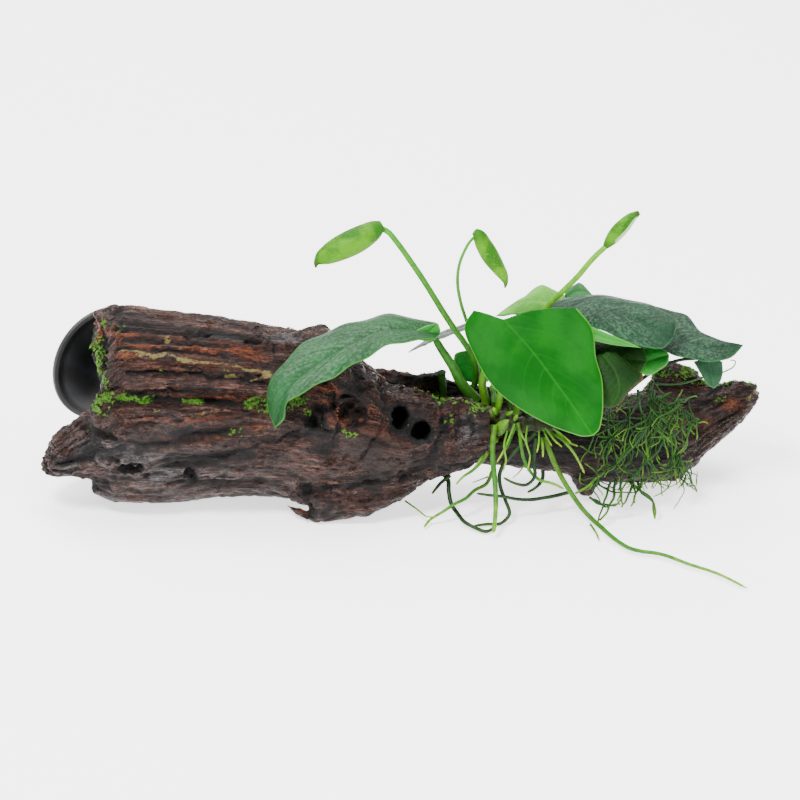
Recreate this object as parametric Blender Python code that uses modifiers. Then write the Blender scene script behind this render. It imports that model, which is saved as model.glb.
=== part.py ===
"""An anubias plant grown onto a piece of driftwood, with a suction cup on the wood's back.

Lengths in this file are millimetres, and become metres when a mesh is made. +Z is up, +X runs
along the wood to the right, and the front, which the plant hangs over, faces -Y.
"""

from math import cos, pi, radians, sin

import bmesh
import bpy
import numpy as np
from mathutils import Matrix, Vector
from mathutils.bvhtree import BVHTree

MM = 0.001
GAP = 0.3            # air between pieces that touch
COLLECTION = "anubias_on_driftwood"

# The eye looks along +Y and down by this angle. Places below are often given as it sees them.
EYE_TILT = radians(25)

# Driving dimensions of the made and the grown pieces
FLOOR = 0.6          # height of the surface under the wood, before the origin is moved to it
CUP_RADIUS = 22.8
CUP_TURN = radians(30)
CUP_CENTRE = (-118.2, 61.0, 38.6)
BOSS_RADIUS = 6.0
BOSS_LENGTH = 13.0
LEAF_THICKNESS = 0.6
RHIZOME_RADIUS = 3.6
LEFT_FORK = -123.0   # x of the plane where the prong leaves the trunk
RIGHT_FORK = 36.2    # x of the plane where the branch leaves the trunk
ORIGIN_SHIFT = (0.3, -0.6, -FLOOR)   # puts the origin under the middle of the whole thing

# Limbs of the wood: x, centre y, centre z, half depth, half height of each section
TRUNK = [
    (-122.8, 20, 38.2, 29, 35.0), (-119, 20, 39.4, 32, 38.6), (-113, 19.5, 39.9, 33, 39.9),
    (-101, 19, 39.0, 33, 39.2), (-85, 19.5, 38.4, 32, 38.0), (-68, 19.5, 38.4, 31, 35.8),
    (-55, 19, 37.0, 29, 34.5), (-44, 16, 36.9, 28, 34.9), (-29, 11, 37.0, 27, 36.5),
    (-22.5, 9, 34.8, 25, 34.4), (-18.5, 9, 31.3, 24, 30.2), (-13, 8, 31.0, 22, 28.4),
    (-8, 7, 29.2, 20, 25.0), (0, 6, 28.2, 17, 22.2), (6, 6, 30.0, 14, 20.2),
    (12, 6, 31.9, 12, 16.0), (21, 6, 32.1, 11, 15.5), (28, 5, 33.4, 9.5, 14.3),
    (33, 4, 35.0, 7.5, 12.0), (36, 4, 35.6, 4.5, 8.0),
]
PRONG = [
    (-143.2, 8, 18.8, 3, 2.0), (-140, 8, 21.4, 8, 6.6), (-137, 8, 23.3, 11, 8.6),
    (-131.5, 8, 25.3, 13, 10.4), (-126, 9, 27.2, 16, 12.6), (-118, 12, 28.5, 19, 15.5),
]
REAR_WALL = [
    (-30, 29, 40, 5, 16), (-13, 31, 33.0, 5.5, 18.4), (0, 32, 30.5, 5, 18.6),
    (10, 32, 29.5, 4.5, 17.6), (14.5, 32, 30.4, 4, 18.4), (20, 32, 29, 4.5, 16.0),
    (28, 32, 28.8, 4.5, 14.6), (42, 33, 27, 5, 13.2), (64, 36, 24.5, 6, 13.0),
    (88, 42, 20.0, 8, 14.0), (99, 47, 19, 8, 15.5), (104, 48, 23, 8, 20.6),
    (108, 48, 24.4, 8, 21.8), (113, 49, 22.8, 8, 20.5), (118, 50, 22.8, 7.5, 18.2),
    (123, 50, 23.2, 6, 14.8), (127, 50, 22, 3.5, 9),
]
BRANCH = [
    (-8, 20, 22, 12, 8), (10, 20.5, 23, 12, 8.6), (28, 20, 24.4, 12, 8.4),
    (36, 20, 25.0, 12.6, 9.6), (45, 20, 25.6, 13, 11.6), (58, 21, 24.9, 14, 13.0),
    (69, 23, 23.3, 15, 14.4), (76, 25, 21.4, 16, 16.4), (84, 28, 20.6, 17.5, 16.6),
    (96, 33, 19.3, 18, 18.0), (106, 37, 18.6, 18, 18.8), (114, 39, 18.8, 17, 17.6),
    (118, 40, 20.6, 15, 15.8), (121, 40, 23.4, 13.6, 13.6), (128, 40, 26.8, 12, 11.5),
    (134, 40, 29.9, 10, 10.0), (139, 40, 33.0, 8, 7.0), (142.6, 40, 35.4, 4.5, 3.4),
]
LIP = [
    (-45.5, -1, 5.4, 0.8, 0.8), (-40, -4, 8.6, 3.6, 6.4), (-35, -6.2, 8.4, 5.2, 8.2),
    (-28, -6, 8.6, 6.0, 8.0), (-19, -5, 9.4, 6.2, 7.2), (-11, -4, 10.8, 6.0, 6.2),
    (-3.5, -3, 12.0, 5.4, 5.2), (3, -2, 13.4, 4.6, 4.8), (6.4, -1.5, 15, 2.6, 3.0),
]
NUB = [(69, 15, 10, 1.5, 2), (73, 13.5, 8.5, 4.5, 6.4), (77, 13.5, 8.8, 4.0, 6.0),
       (80.5, 15, 10, 1.5, 2)]

WOOD_BROWN = (0.050, 0.018, 0.010)
LEAF_GREEN = (0.060, 0.230, 0.022)
LEAF_BRIGHT = (0.110, 0.380, 0.020)
LEAF_DARK = (0.014, 0.072, 0.022)
STALK_GREEN = (0.150, 0.330, 0.035)
ROOT_GREEN = (0.110, 0.210, 0.030)
ROOT_DARK = (0.035, 0.060, 0.012)
ROOT_YELLOW = (0.300, 0.420, 0.040)
MOSS_GREEN = (0.045, 0.120, 0.010)
RUBBER_BLACK = (0.006, 0.007, 0.008)


def seen(right, up, back):
    """The point that the eye sees so far right and up in its picture plane, at depth back."""
    return np.array((right, back, (up - back * sin(EYE_TILT)) / cos(EYE_TILT)))


TOWARDS_EYE = np.array((0.0, -cos(EYE_TILT), sin(EYE_TILT)))


def through(keys, values, x):
    """A smooth curve through values at keys, read at x."""
    keys, values = np.asarray(keys, float), np.asarray(values, float)
    slopes = np.gradient(values, keys, axis=0)
    i = int(np.clip(np.searchsorted(keys, x) - 1, 0, len(keys) - 2))
    span = keys[i + 1] - keys[i]
    t = (x - keys[i]) / span
    return ((2 * t**3 - 3 * t**2 + 1) * values[i] + (t**3 - 2 * t**2 + t) * span * slopes[i]
            + (3 * t**2 - 2 * t**3) * values[i + 1] + (t**3 - t**2) * span * slopes[i + 1])


def smooth_route(points, count):
    """count points, evenly spread along a smooth curve through the given ones."""
    points = np.asarray(points, float)
    reach = np.concatenate(([0], np.cumsum(np.linalg.norm(np.diff(points, axis=0), axis=1))))
    return np.array([through(reach, points, x) for x in np.linspace(0, reach[-1], count)])


def clear_scene():
    for old in list(bpy.data.objects):
        bpy.data.objects.remove(old, do_unlink=True)


def new_collection(name):
    made = bpy.data.collections.new(name)
    bpy.context.scene.collection.children.link(made)
    return made


def paint(obj, colour, roughness, metallic=0.0):
    """Gives the object a material of its own."""
    material = bpy.data.materials.new(obj.name)
    material.use_nodes = True
    shader = material.node_tree.nodes["Principled BSDF"]
    shader.inputs["Base Color"].default_value = (*colour, 1)
    shader.inputs["Roughness"].default_value = roughness
    shader.inputs["Metallic"].default_value = metallic
    material.diffuse_color = (*colour, 1)
    obj.data.materials.clear()
    obj.data.materials.append(material)


def place(points):
    """Millimetres in the working frame to metres in the model's own."""
    return (np.asarray(points, float) + np.array(ORIGIN_SHIFT)) * MM


def mesh_object(name, vertices, faces, collection):
    mesh = bpy.data.meshes.new(name)
    mesh.from_pydata([tuple(v) for v in place(vertices)], [], faces)
    obj = bpy.data.objects.new(name, mesh)
    collection.objects.link(obj)
    mesh.shade_smooth()
    return obj


def baked(obj):
    """The object's evaluated mesh as a plain object in its place."""
    depsgraph = bpy.context.evaluated_depsgraph_get()
    mesh = bpy.data.meshes.new_from_object(obj.evaluated_get(depsgraph))
    obj.modifiers.clear()
    obj.data = mesh
    return obj


def boolean(obj, operation, other):
    step = obj.modifiers.new(operation.lower(), "BOOLEAN")
    step.operation = operation
    step.object = other
    return step


# The wood

SIDES = {"trunk": 28, "prong": 14, "rear_wall": 14, "branch": 22, "lip": 10, "nub": 8}
# Ridges round a limb: how many, their height as a share of the radius, and a turn
GRAIN_RIDGES = ((7, 0.030, 0.4), (11, 0.024, 1.9), (4, 0.026, 2.6))
GROOVE_ANGLE = radians(150)
GROOVE_WIDTH = radians(13)
GROOVE_DEPTH = 6.0


def groove(x, angle):
    """Depth of the mossy groove that runs along the upper front of the log."""
    fade = np.clip((-52 - x) / 14, 0, 1)
    return GROOVE_DEPTH * fade * max(0.0, 1 - abs(angle - GROOVE_ANGLE) / GROOVE_WIDTH)


def ridge(x, angle):
    """Height of the weathered grain as a share of the radius, lower on the underside."""
    worn = 1 - 0.7 * max(0.0, -sin(angle))
    return worn * sum(size * sin(count * angle + turn + 0.02 * x)
                      * (1 + 0.5 * sin(0.045 * x + 2 * turn))
                      for count, size, turn in GRAIN_RIDGES)


def limb(name, sections, spacing, collection):
    """A loft along X through the sections, with ridges that run with the grain."""
    sections = np.asarray(sections, float)
    first, last = sections[0, 0], sections[-1, 0]
    inner = np.linspace(first, last, max(2, round((last - first) / spacing) + 1))[1:-1]
    stations = [first, *inner, last]
    sides = SIDES[name]
    vertices = []
    for x in stations:
        _, centre_y, centre_z, depth, height = through(sections[:, 0], sections, x)
        depth, height = max(depth, 0.5), max(height, 0.5)
        for k in range(sides):
            angle = 2 * pi * k / sides
            sunk = groove(x, angle) if name == "trunk" else 0.0
            out = 1 + ridge(x, angle) - sunk / height
            vertices.append((x, centre_y + depth * out * cos(angle),
                             centre_z + height * out * sin(angle)))
    rings = len(stations)
    faces = []
    for i in range(rings - 1):
        for k in range(sides):
            a, b = i * sides + k, i * sides + (k + 1) % sides
            faces.append((a, b, b + sides, a + sides))
    for ring in (0, rings - 1):
        vertices.append(np.mean(vertices[ring * sides:(ring + 1) * sides], axis=0))
        middle = len(vertices) - 1
        for k in range(sides):
            a, b = ring * sides + k, ring * sides + (k + 1) % sides
            faces.append((b, a, middle) if ring == 0 else (a, b, middle))
    return mesh_object(f"limb_{name}", vertices, faces, collection)


def ball_cutter(name, centre, radii, tilt, cutters):
    mesh = bpy.data.meshes.new(name)
    shape = bmesh.new()
    bmesh.ops.create_uvsphere(shape, u_segments=12, v_segments=7, radius=1.0)
    turn = Matrix.Rotation(tilt, 4, "X") @ Matrix.Diagonal((*[r * MM for r in radii], 1))
    bmesh.ops.transform(shape, matrix=Matrix.Translation(place(centre)) @ turn, verts=shape.verts)
    shape.to_mesh(mesh)
    shape.free()
    obj = bpy.data.objects.new(name, mesh)
    cutters.objects.link(obj)
    return obj


def box_cutter(name, low, high, cutters):
    low, high = np.asarray(low, float), np.asarray(high, float)
    mesh = bpy.data.meshes.new(name)
    shape = bmesh.new()
    bmesh.ops.create_cube(shape, size=1.0)
    size = (high - low) * MM
    bmesh.ops.transform(shape, verts=shape.verts, matrix=Matrix.Translation(
        place((low + high) / 2)) @ Matrix.Diagonal((*size, 1)))
    shape.to_mesh(mesh)
    shape.free()
    obj = bpy.data.objects.new(name, mesh)
    cutters.objects.link(obj)
    return obj


def cup_axis():
    """Unit vector out of the suction face."""
    return Vector((-sin(CUP_TURN), cos(CUP_TURN), 0))


def socket_cutter(cutters):
    """The seat that the cup's boss sits in, in the back of the log."""
    mesh = bpy.data.meshes.new("cup_seat")
    shape = bmesh.new()
    length = (BOSS_LENGTH + GAP - 2) * MM
    bmesh.ops.create_cone(shape, cap_ends=True, segments=24, depth=length,
                          radius1=(BOSS_RADIUS + GAP) * MM, radius2=(BOSS_RADIUS + GAP) * MM)
    axis = cup_axis()
    middle = Vector(place(CUP_CENTRE)) - axis * (2 * MM + length / 2)
    bmesh.ops.transform(shape, verts=shape.verts, matrix=Matrix.Translation(middle)
                        @ axis.to_track_quat("Z", "Y").to_matrix().to_4x4())
    shape.to_mesh(mesh)
    shape.free()
    obj = bpy.data.objects.new("cup_seat", mesh)
    cutters.objects.link(obj)
    return obj


FAR = 400.0
HOLES = [                       # centre, radii, of each hollow in the burl
    ("hole_left", seen(-0.2, 39.4, 1), (4.5, 9.5, 5.8)),
    ("hole_right", seen(8.0, 33.6, -1), (4.8, 9.0, 5.0)),
    ("hole_recess", seen(4.5, 35.5, -8), (10.0, 3.6, 8.0)),
    ("rust_hollow", seen(-19.6, 40.8, -10), (8.8, 4.2, 5.4)),
]


def make_wood(parts, cutters):
    """All limbs joined, hollowed, cut flat where they rest, and parted at the two forks."""
    whole = limb("trunk", TRUNK, 8.2, cutters)
    joined = [
        limb("prong", PRONG, 4.5, cutters), limb("rear_wall", REAR_WALL, 7.5, cutters),
        limb("branch", BRANCH, 8.0, cutters), limb("lip", LIP, 6.0, cutters),
        limb("nub", NUB, 3.6, cutters),
    ]
    for other in joined:
        boolean(whole, "UNION", other)
    for name, centre, radii in HOLES:
        boolean(whole, "DIFFERENCE", ball_cutter(name, centre, radii, -EYE_TILT, cutters))
    boolean(whole, "DIFFERENCE", socket_cutter(cutters))
    boolean(whole, "DIFFERENCE", box_cutter("floor_cut", (-FAR, -FAR, -60), (FAR, FAR, FLOOR),
                                            cutters))
    baked(whole)
    right_of_prong = box_cutter("right_of_prong", (LEFT_FORK - GAP / 2, -FAR, -FAR),
                                (FAR, FAR, FAR), cutters)
    left_of_trunk = box_cutter("left_of_trunk", (-FAR, -FAR, -FAR),
                               (LEFT_FORK + GAP / 2, FAR, FAR), cutters)
    right_of_trunk = box_cutter("right_of_trunk", (RIGHT_FORK - GAP / 2, -FAR, -FAR),
                                (FAR, FAR, FAR), cutters)
    left_of_branch = box_cutter("left_of_branch", (-FAR, -FAR, -FAR),
                                (RIGHT_FORK + GAP / 2, FAR, FAR), cutters)
    taken_off = {
        "driftwood_trunk": (left_of_trunk, right_of_trunk),
        "driftwood_prong": (right_of_prong,),
        "driftwood_branch": (left_of_branch,),
    }
    nodes = []
    for name, cuts in taken_off.items():
        node = bpy.data.objects.new(name, whole.data.copy())
        parts.objects.link(node)
        for cut in cuts:
            boolean(node, "DIFFERENCE", cut)
        baked(node)
        paint(node, WOOD_BROWN, 0.42)
        nodes.append(node)
    bpy.data.objects.remove(whole, do_unlink=True)
    return nodes


def surface_of(objects):
    """A tree of the objects' faces, in working millimetres, for distances."""
    vertices, faces = [], []
    for obj in objects:
        start = len(vertices)
        vertices += [Vector(v.co) / MM - Vector(ORIGIN_SHIFT) for v in obj.data.vertices]
        faces += [[start + i for i in face.vertices] for face in obj.data.polygons]
    return BVHTree.FromPolygons(vertices, faces)


# The suction cup

def make_cup(parts):
    """A turned rubber cup: concave towards the glass, with a boss that sits in the log."""
    profile = [
        (0, -3.4), (8, -3.1), (15, -2.0), (20.0, -0.1), (20.6, 0), (CUP_RADIUS - 0.3, 0),
        (CUP_RADIUS, -0.4), (CUP_RADIUS, -1.4), (CUP_RADIUS - 0.8, -2.2), (17.5, -3.9),
        (10, -6.0), (7.2, -7.2), (BOSS_RADIUS, -8.6), (BOSS_RADIUS, -BOSS_LENGTH),
        (0, -BOSS_LENGTH),
    ]
    mesh = bpy.data.meshes.new("suction_cup")
    mesh.from_pydata([(r * MM, 0, z * MM) for r, z in profile],
                     [(i, i + 1) for i in range(len(profile) - 1)], [])
    cup = bpy.data.objects.new("suction_cup", mesh)
    parts.objects.link(cup)
    turn = cup.modifiers.new("turn", "SCREW")
    turn.axis = "Z"
    turn.steps = turn.render_steps = 24
    turn.use_merge_vertices = True
    turn.merge_threshold = 0.00001
    cup.location = place(CUP_CENTRE)
    cup.rotation_mode = "QUATERNION"
    cup.rotation_quaternion = cup_axis().to_track_quat("Z", "Y")
    paint(cup, RUBBER_BLACK, 0.3)
    return cup


# Tubes: stalks, roots and sheaths

def tube(name, route, radii, colour, parts, sides=6):
    """A tapered tube along the route. radii are the radius at each of its points."""
    curve = bpy.data.curves.new(name, "CURVE")
    curve.dimensions = "3D"
    curve.bevel_depth = MM
    curve.bevel_resolution = (sides - 4) // 2
    curve.use_fill_caps = True
    spline = curve.splines.new("POLY")
    spline.points.add(len(route) - 1)
    for point, where, radius in zip(spline.points, place(route), radii):
        point.co = (*where, 1)
        point.radius = radius
    obj = bpy.data.objects.new(name, curve)
    parts.objects.link(obj)
    paint(obj, colour, 0.45)
    return obj


def distance_to_route(point, route):
    """Shortest distance from a point to a line of straight pieces."""
    start, step = route[:-1], np.diff(route, axis=0)
    along = np.clip(np.sum((point - start) * step, axis=1) / np.sum(step * step, axis=1), 0, 1)
    return np.min(np.linalg.norm(start + along[:, None] * step - point, axis=1))


def room(point, radius, wood, laid):
    """Free distance around a point: below zero where it is inside wood, floor or a neighbour."""
    hit, normal, _, distance = wood.find_nearest(Vector(point))
    outside = (Vector(point) - hit).dot(normal) > 0
    free = (distance if outside else -distance) - radius
    free = min(free, point[2] - FLOOR - radius)
    for route, other in laid:
        if np.min(np.linalg.norm(route - point, axis=1)) < 25:
            free = min(free, distance_to_route(point, route) - radius - other)
    return free


def eased(route, radii, wood, laid, slope=0.45):
    """The route drawn towards the eye wherever it would touch wood, floor or what is laid."""
    route = np.array(route, float)
    moved = np.zeros(len(route))
    gaps = np.linalg.norm(np.diff(route, axis=0), axis=1)
    reach = np.concatenate(([0], np.cumsum(gaps)))
    between = np.minimum(np.arange(len(route)) + 1, len(route) - 1)
    for _ in range(20):
        before = moved.copy()
        for i, j in enumerate(between):
            while True:
                here = route[i] + moved[i] * TOWARDS_EYE
                there = route[j] + moved[j] * TOWARDS_EYE
                free = min(room(here, radii[i], wood, laid),
                           room((here + there) / 2, radii[i], wood, laid))
                if free >= GAP + 0.1:
                    break
                moved[i] += 0.25
                moved[j] = max(moved[j], moved[i] - slope * gaps[min(i, len(gaps) - 1)])
                if moved[i] > 60:
                    raise ValueError("a route can't be laid clear")
        spread = moved[None, :] - slope * np.abs(reach[:, None] - reach[None, :])
        moved = np.max(spread, axis=1)
        if np.allclose(before, moved):
            break
    return route + moved[:, None] * TOWARDS_EYE


# The plant: where things grow from, as the eye sees them (right, up, back)

RHIZOME = [(16, 42.8, 22.8), (25, 42.4, 21), (32.5, 42.2, 17.8), (39, 39.4, 11.8),
           (45, 37.2, 7.2), (55, 36.8, 6.2), (67, 37.6, 7.6), (79, 39.4, 11.5), (87, 41, 15)]

# Leaves: midrib, far edge and near edge from base to tip, and the lobe behind the base
LEAVES = {
    "leaf_left": dict(
        mid=[(12, 73.4, 14), (-6, 74.4, 8), (-20, 68.4, -2), (-34, 60, -9), (-44, 51, -16),
             (-50, 35.2, -20)],
        far=[(13, 77.5, 24), (-4, 80.6, 22), (-20, 77, 14), (-35, 71, 7), (-46, 62, -3),
             (-53.4, 47, -13), (-50, 35.2, -20)],
        near=[(13.5, 71, 5), (-4, 68.2, -4), (-21, 58.8, -14), (-36, 50.6, -22),
              (-44.5, 46, -26), (-46, 39.5, -24), (-50, 35.2, -20)],
        lobe=3.0, colour=LEAF_GREEN),
    "leaf_front": dict(
        mid=[(44, 78.6, -1), (49.5, 75, -1), (55.2, 65, -4), (63.2, 52.8, -9),
             (70, 44.4, -14), (78, 33, -20)],
        far=[(70.4, 80.6, 5), (76.4, 73.4, 4), (79, 63, 0), (80.9, 53.6, -5),
             (81.3, 44, -10), (80.4, 36.6, -16), (78, 33, -20)],
        near=[(27, 79.2, 3), (25.7, 75.4, 3), (30, 63, 0), (42, 46.6, -6),
              (58, 37, -12), (70, 32.6, -17), (78, 33, -20)],
        lobe=2.6, colour=LEAF_BRIGHT),
    "leaf_dark_back": dict(
        mid=[(60, 83, 22), (76, 83.5, 17), (92, 79.5, 12), (108.5, 71.5, 4)],
        far=[(61, 86, 32), (77, 89, 31), (94, 86.4, 26), (107, 81, 16), (108.5, 71.5, 4)],
        near=[(63, 79.5, 13), (76, 76, 7), (88, 70.5, 2), (101, 66.8, -1), (108.5, 71.5, 4)],
        lobe=2.0, colour=LEAF_DARK),
    "leaf_dark_right": dict(
        mid=[(99, 75, 24), (110, 71.5, 17), (122, 67.2, 9), (137.3, 68.4, 4)],
        far=[(102, 84, 36), (114, 80.6, 30), (122, 72.8, 17), (131, 69.8, 9),
             (137.3, 68.4, 4)],
        near=[(101, 68, 9), (110, 64.4, 5), (122, 62, 2), (131.4, 62.8, 2), (137.3, 68.4, 4)],
        lobe=1.5, colour=LEAF_DARK),
    "leaf_pale_back": dict(
        mid=[(64, 84, 41), (55, 86.4, 34), (45, 84.2, 26), (38.3, 80, 20)],
        far=[(66, 88.4, 47), (57, 92.4, 44), (49, 87.4, 35), (38.3, 80, 20)],
        near=[(62, 80, 34), (53, 80.4, 27), (45, 80.4, 21.6), (38.3, 80, 20)],
        lobe=1.0, colour=LEAF_BRIGHT),
    "leaf_top_small": dict(
        mid=[(66.6, 87, 42), (71.4, 89.8, 40), (77.4, 88.4, 37)],
        far=[(67.6, 91, 46), (71.6, 93.4, 44), (77.4, 88.4, 37)],
        near=[(67.6, 83, 37.6), (72, 85, 35.8), (77.4, 88.4, 37)],
        lobe=0.6, colour=LEAF_GREEN),
    "leaf_edge_on": dict(
        mid=[(27.5, 75.6, 25), (15, 71, 28), (3.2, 65.6, 32)],
        far=[(26, 76.8, 31), (14, 72, 37), (3.2, 65.6, 32)],
        near=[(26, 74.6, 19.6), (14, 70.2, 19.4), (3.2, 65.6, 32)],
        lobe=0.6, colour=LEAF_DARK),
    "leaf_trough": dict(
        mid=[(35.4, 54, 26), (29.5, 60.4, 27), (23.5, 66.4, 26)],
        far=[(36.6, 57, 29), (32, 64, 30.4), (23.5, 66.4, 26)],
        near=[(33.4, 53, 25), (26, 58, 24), (23.5, 66.4, 26)],
        lobe=0.5, colour=LEAF_GREEN),
    "leaf_shaded": dict(
        mid=[(75, 66, 15), (85, 65.6, 12), (95, 66, 10)],
        far=[(78, 70, 22), (86, 70.6, 20), (95, 66, 10)],
        near=[(76, 60.6, 12.4), (86, 59.8, 9.6), (95, 66, 10)],
        lobe=0.6, colour=LEAF_DARK),
    "leaf_damaged": dict(
        mid=[(81, 64.6, 4.6), (86, 58, 1), (87.6, 50, -3), (84.4, 44, -5)],
        far=[(86, 65.4, 5.4), (94.6, 58.6, 3.6), (98.4, 54.6, 2.4), (91, 49.6, -1),
             (84.4, 44, -5)],
        near=[(77, 62, 2.8), (76.6, 55, -0.4), (78.4, 48, -3), (84.4, 44, -5)],
        lobe=0.6, colour=LEAF_GREEN),
    "leaf_small_right": dict(
        mid=[(95.2, 58, 12), (100.5, 62, 13), (106.4, 64.3, 14)],
        far=[(94.2, 63, 16), (98.4, 66.8, 17), (106.4, 64.3, 14)],
        near=[(98, 56.6, 9), (103, 58.8, 10), (106.4, 64.3, 14)],
        lobe=0.4, colour=LEAF_BRIGHT),
    "leaf_drooping": dict(
        mid=[(123.5, 62, 11), (124.6, 57, 9), (125.6, 50.9, 6)],
        far=[(129, 61.6, 11), (128.6, 57, 9), (125.6, 50.9, 6)],
        near=[(118, 61.6, 11), (120.6, 57, 8.6), (125.6, 50.9, 6)],
        lobe=0.5, colour=LEAF_GREEN),
}

# Stalks: route from the blade down to the rhizome, radius at the top and at the foot
STALKS = {
    "stalk_left": ([(13.4, 72, 14.4), (16, 67.6, 14.6), (21, 60, 15.5), (25, 52.6, 17),
                    (29.5, 47.4, 18.4)], 1.6, 2.9),
    "stalk_front": ([(44.4, 76.4, 2), (43, 67, 6), (41.6, 56, 7.5), (40, 48, 7.4),
                     (39.4, 43.8, 8.6)], 1.3, 1.4),
    "stalk_dark_back": ([(58.6, 82.4, 22), (56, 72, 20), (53, 60, 17), (51, 48, 12),
                         (50.4, 42, 8.5)], 1.3, 1.7),
    "stalk_dark_right": ([(98, 74, 24), (88, 67, 23), (78, 59, 21), (70, 49, 15),
                          (66.5, 42.8, 9.4)], 1.3, 1.7),
    "stalk_pale_back": ([(64.6, 82, 41), (56, 75, 34), (44, 68, 24), (35, 60, 16.4),
                         (33, 53, 15.4), (34.2, 46.6, 16.2)], 1.2, 1.7),
    "stalk_top_small": ([(68, 85, 40.4), (67, 76, 34), (62, 64, 26), (56.6, 51, 16),
                         (55, 42, 8)], 1.0, 1.3),
    "stalk_edge_on": ([(29, 75, 24.6), (33, 66, 22), (38.4, 56, 19), (43, 48, 14.6),
                       (44.2, 43.4, 11)], 1.0, 1.2),
    "stalk_trough": ([(36.6, 52.4, 25), (37.4, 49, 21), (37.6, 45.6, 15.4)], 1.0, 1.1),
    "stalk_shaded": ([(73.4, 65, 15), (68, 58, 15), (62.4, 50, 13), (60, 41.8, 7.4)], 1.0, 1.3),
    "stalk_damaged": ([(80.6, 63, 7), (77.6, 57, 8.6), (73.8, 48.6, 10.6),
                       (72, 43, 10)], 1.1, 1.4),
    "stalk_small_right": ([(93.6, 56.6, 12.4), (89, 51, 14), (83.6, 46.4, 15),
                           (81, 44.6, 14)], 0.9, 1.1),
    "stalk_drooping": ([(122.6, 63.2, 12.6), (112, 62.4, 15.4), (101, 57.6, 19),
                        (92, 50.6, 18.6), (86.6, 45.4, 16.4)], 0.9, 1.2),
    "cut_stalk": ([(16.6, 57.6, 20.4), (17.2, 52, 21.2), (17.8, 47.2, 22.4)], 1.6, 1.3),
    "flower_stalk_left": ([(-5.4, 115, 4.2), (-1.6, 110.4, 5), (3.8, 102.4, 6.6),
                           (10.4, 92.6, 8.6), (17, 82, 10.8), (22.3, 74, 12.8),
                           (26.4, 68.4, 14.6), (29.4, 63, 17), (30.4, 55, 21.4),
                           (27.6, 47.2, 23.4)], 1.15, 1.3),
    "flower_stalk_middle": ([(29.6, 112, 7), (25.8, 106, 7), (23.6, 100, 7.2), (23, 93.2, 7.6),
                             (24, 86.6, 8), (26.4, 78.6, 9), (29.6, 70.4, 10),
                             (33.6, 62.4, 11), (37.8, 53.6, 11.6), (40, 46.4, 12.6)], 0.6, 0.8),
    "flower_stalk_right": ([(81.6, 107, 20), (77, 102.8, 18), (71.4, 96.2, 16),
                            (64.8, 89.6, 14), (59, 84, 13), (54, 74, 12.6), (50, 61, 11.4),
                            (47.2, 48, 9), (46.6, 42, 6.4)], 1.1, 1.25),
}

# Spathes: route from the stalk to the tip, and the largest radius
SPATHES = {
    "spathe_left": ([(-6.4, 115.8, 4), (-9, 116.2, 3.6), (-15, 113.4, 2.4), (-23, 107.6, 1),
                     (-30, 102.4, -0.6), (-33.8, 99.6, -1.6)], 5.6),
    "spathe_middle": ([(30.4, 113.4, 7), (32, 113.2, 7), (35.4, 107.6, 6.6),
                       (38.6, 101, 6), (41, 94.6, 5.4), (42, 91.4, 5)], 3.6),
    "spathe_right": ([(82.2, 108, 20.2), (83.8, 109.6, 20.6), (87.4, 113, 21.6),
                      (91, 116.6, 22.8), (95.6, 121.2, 24)], 2.9),
}

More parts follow.
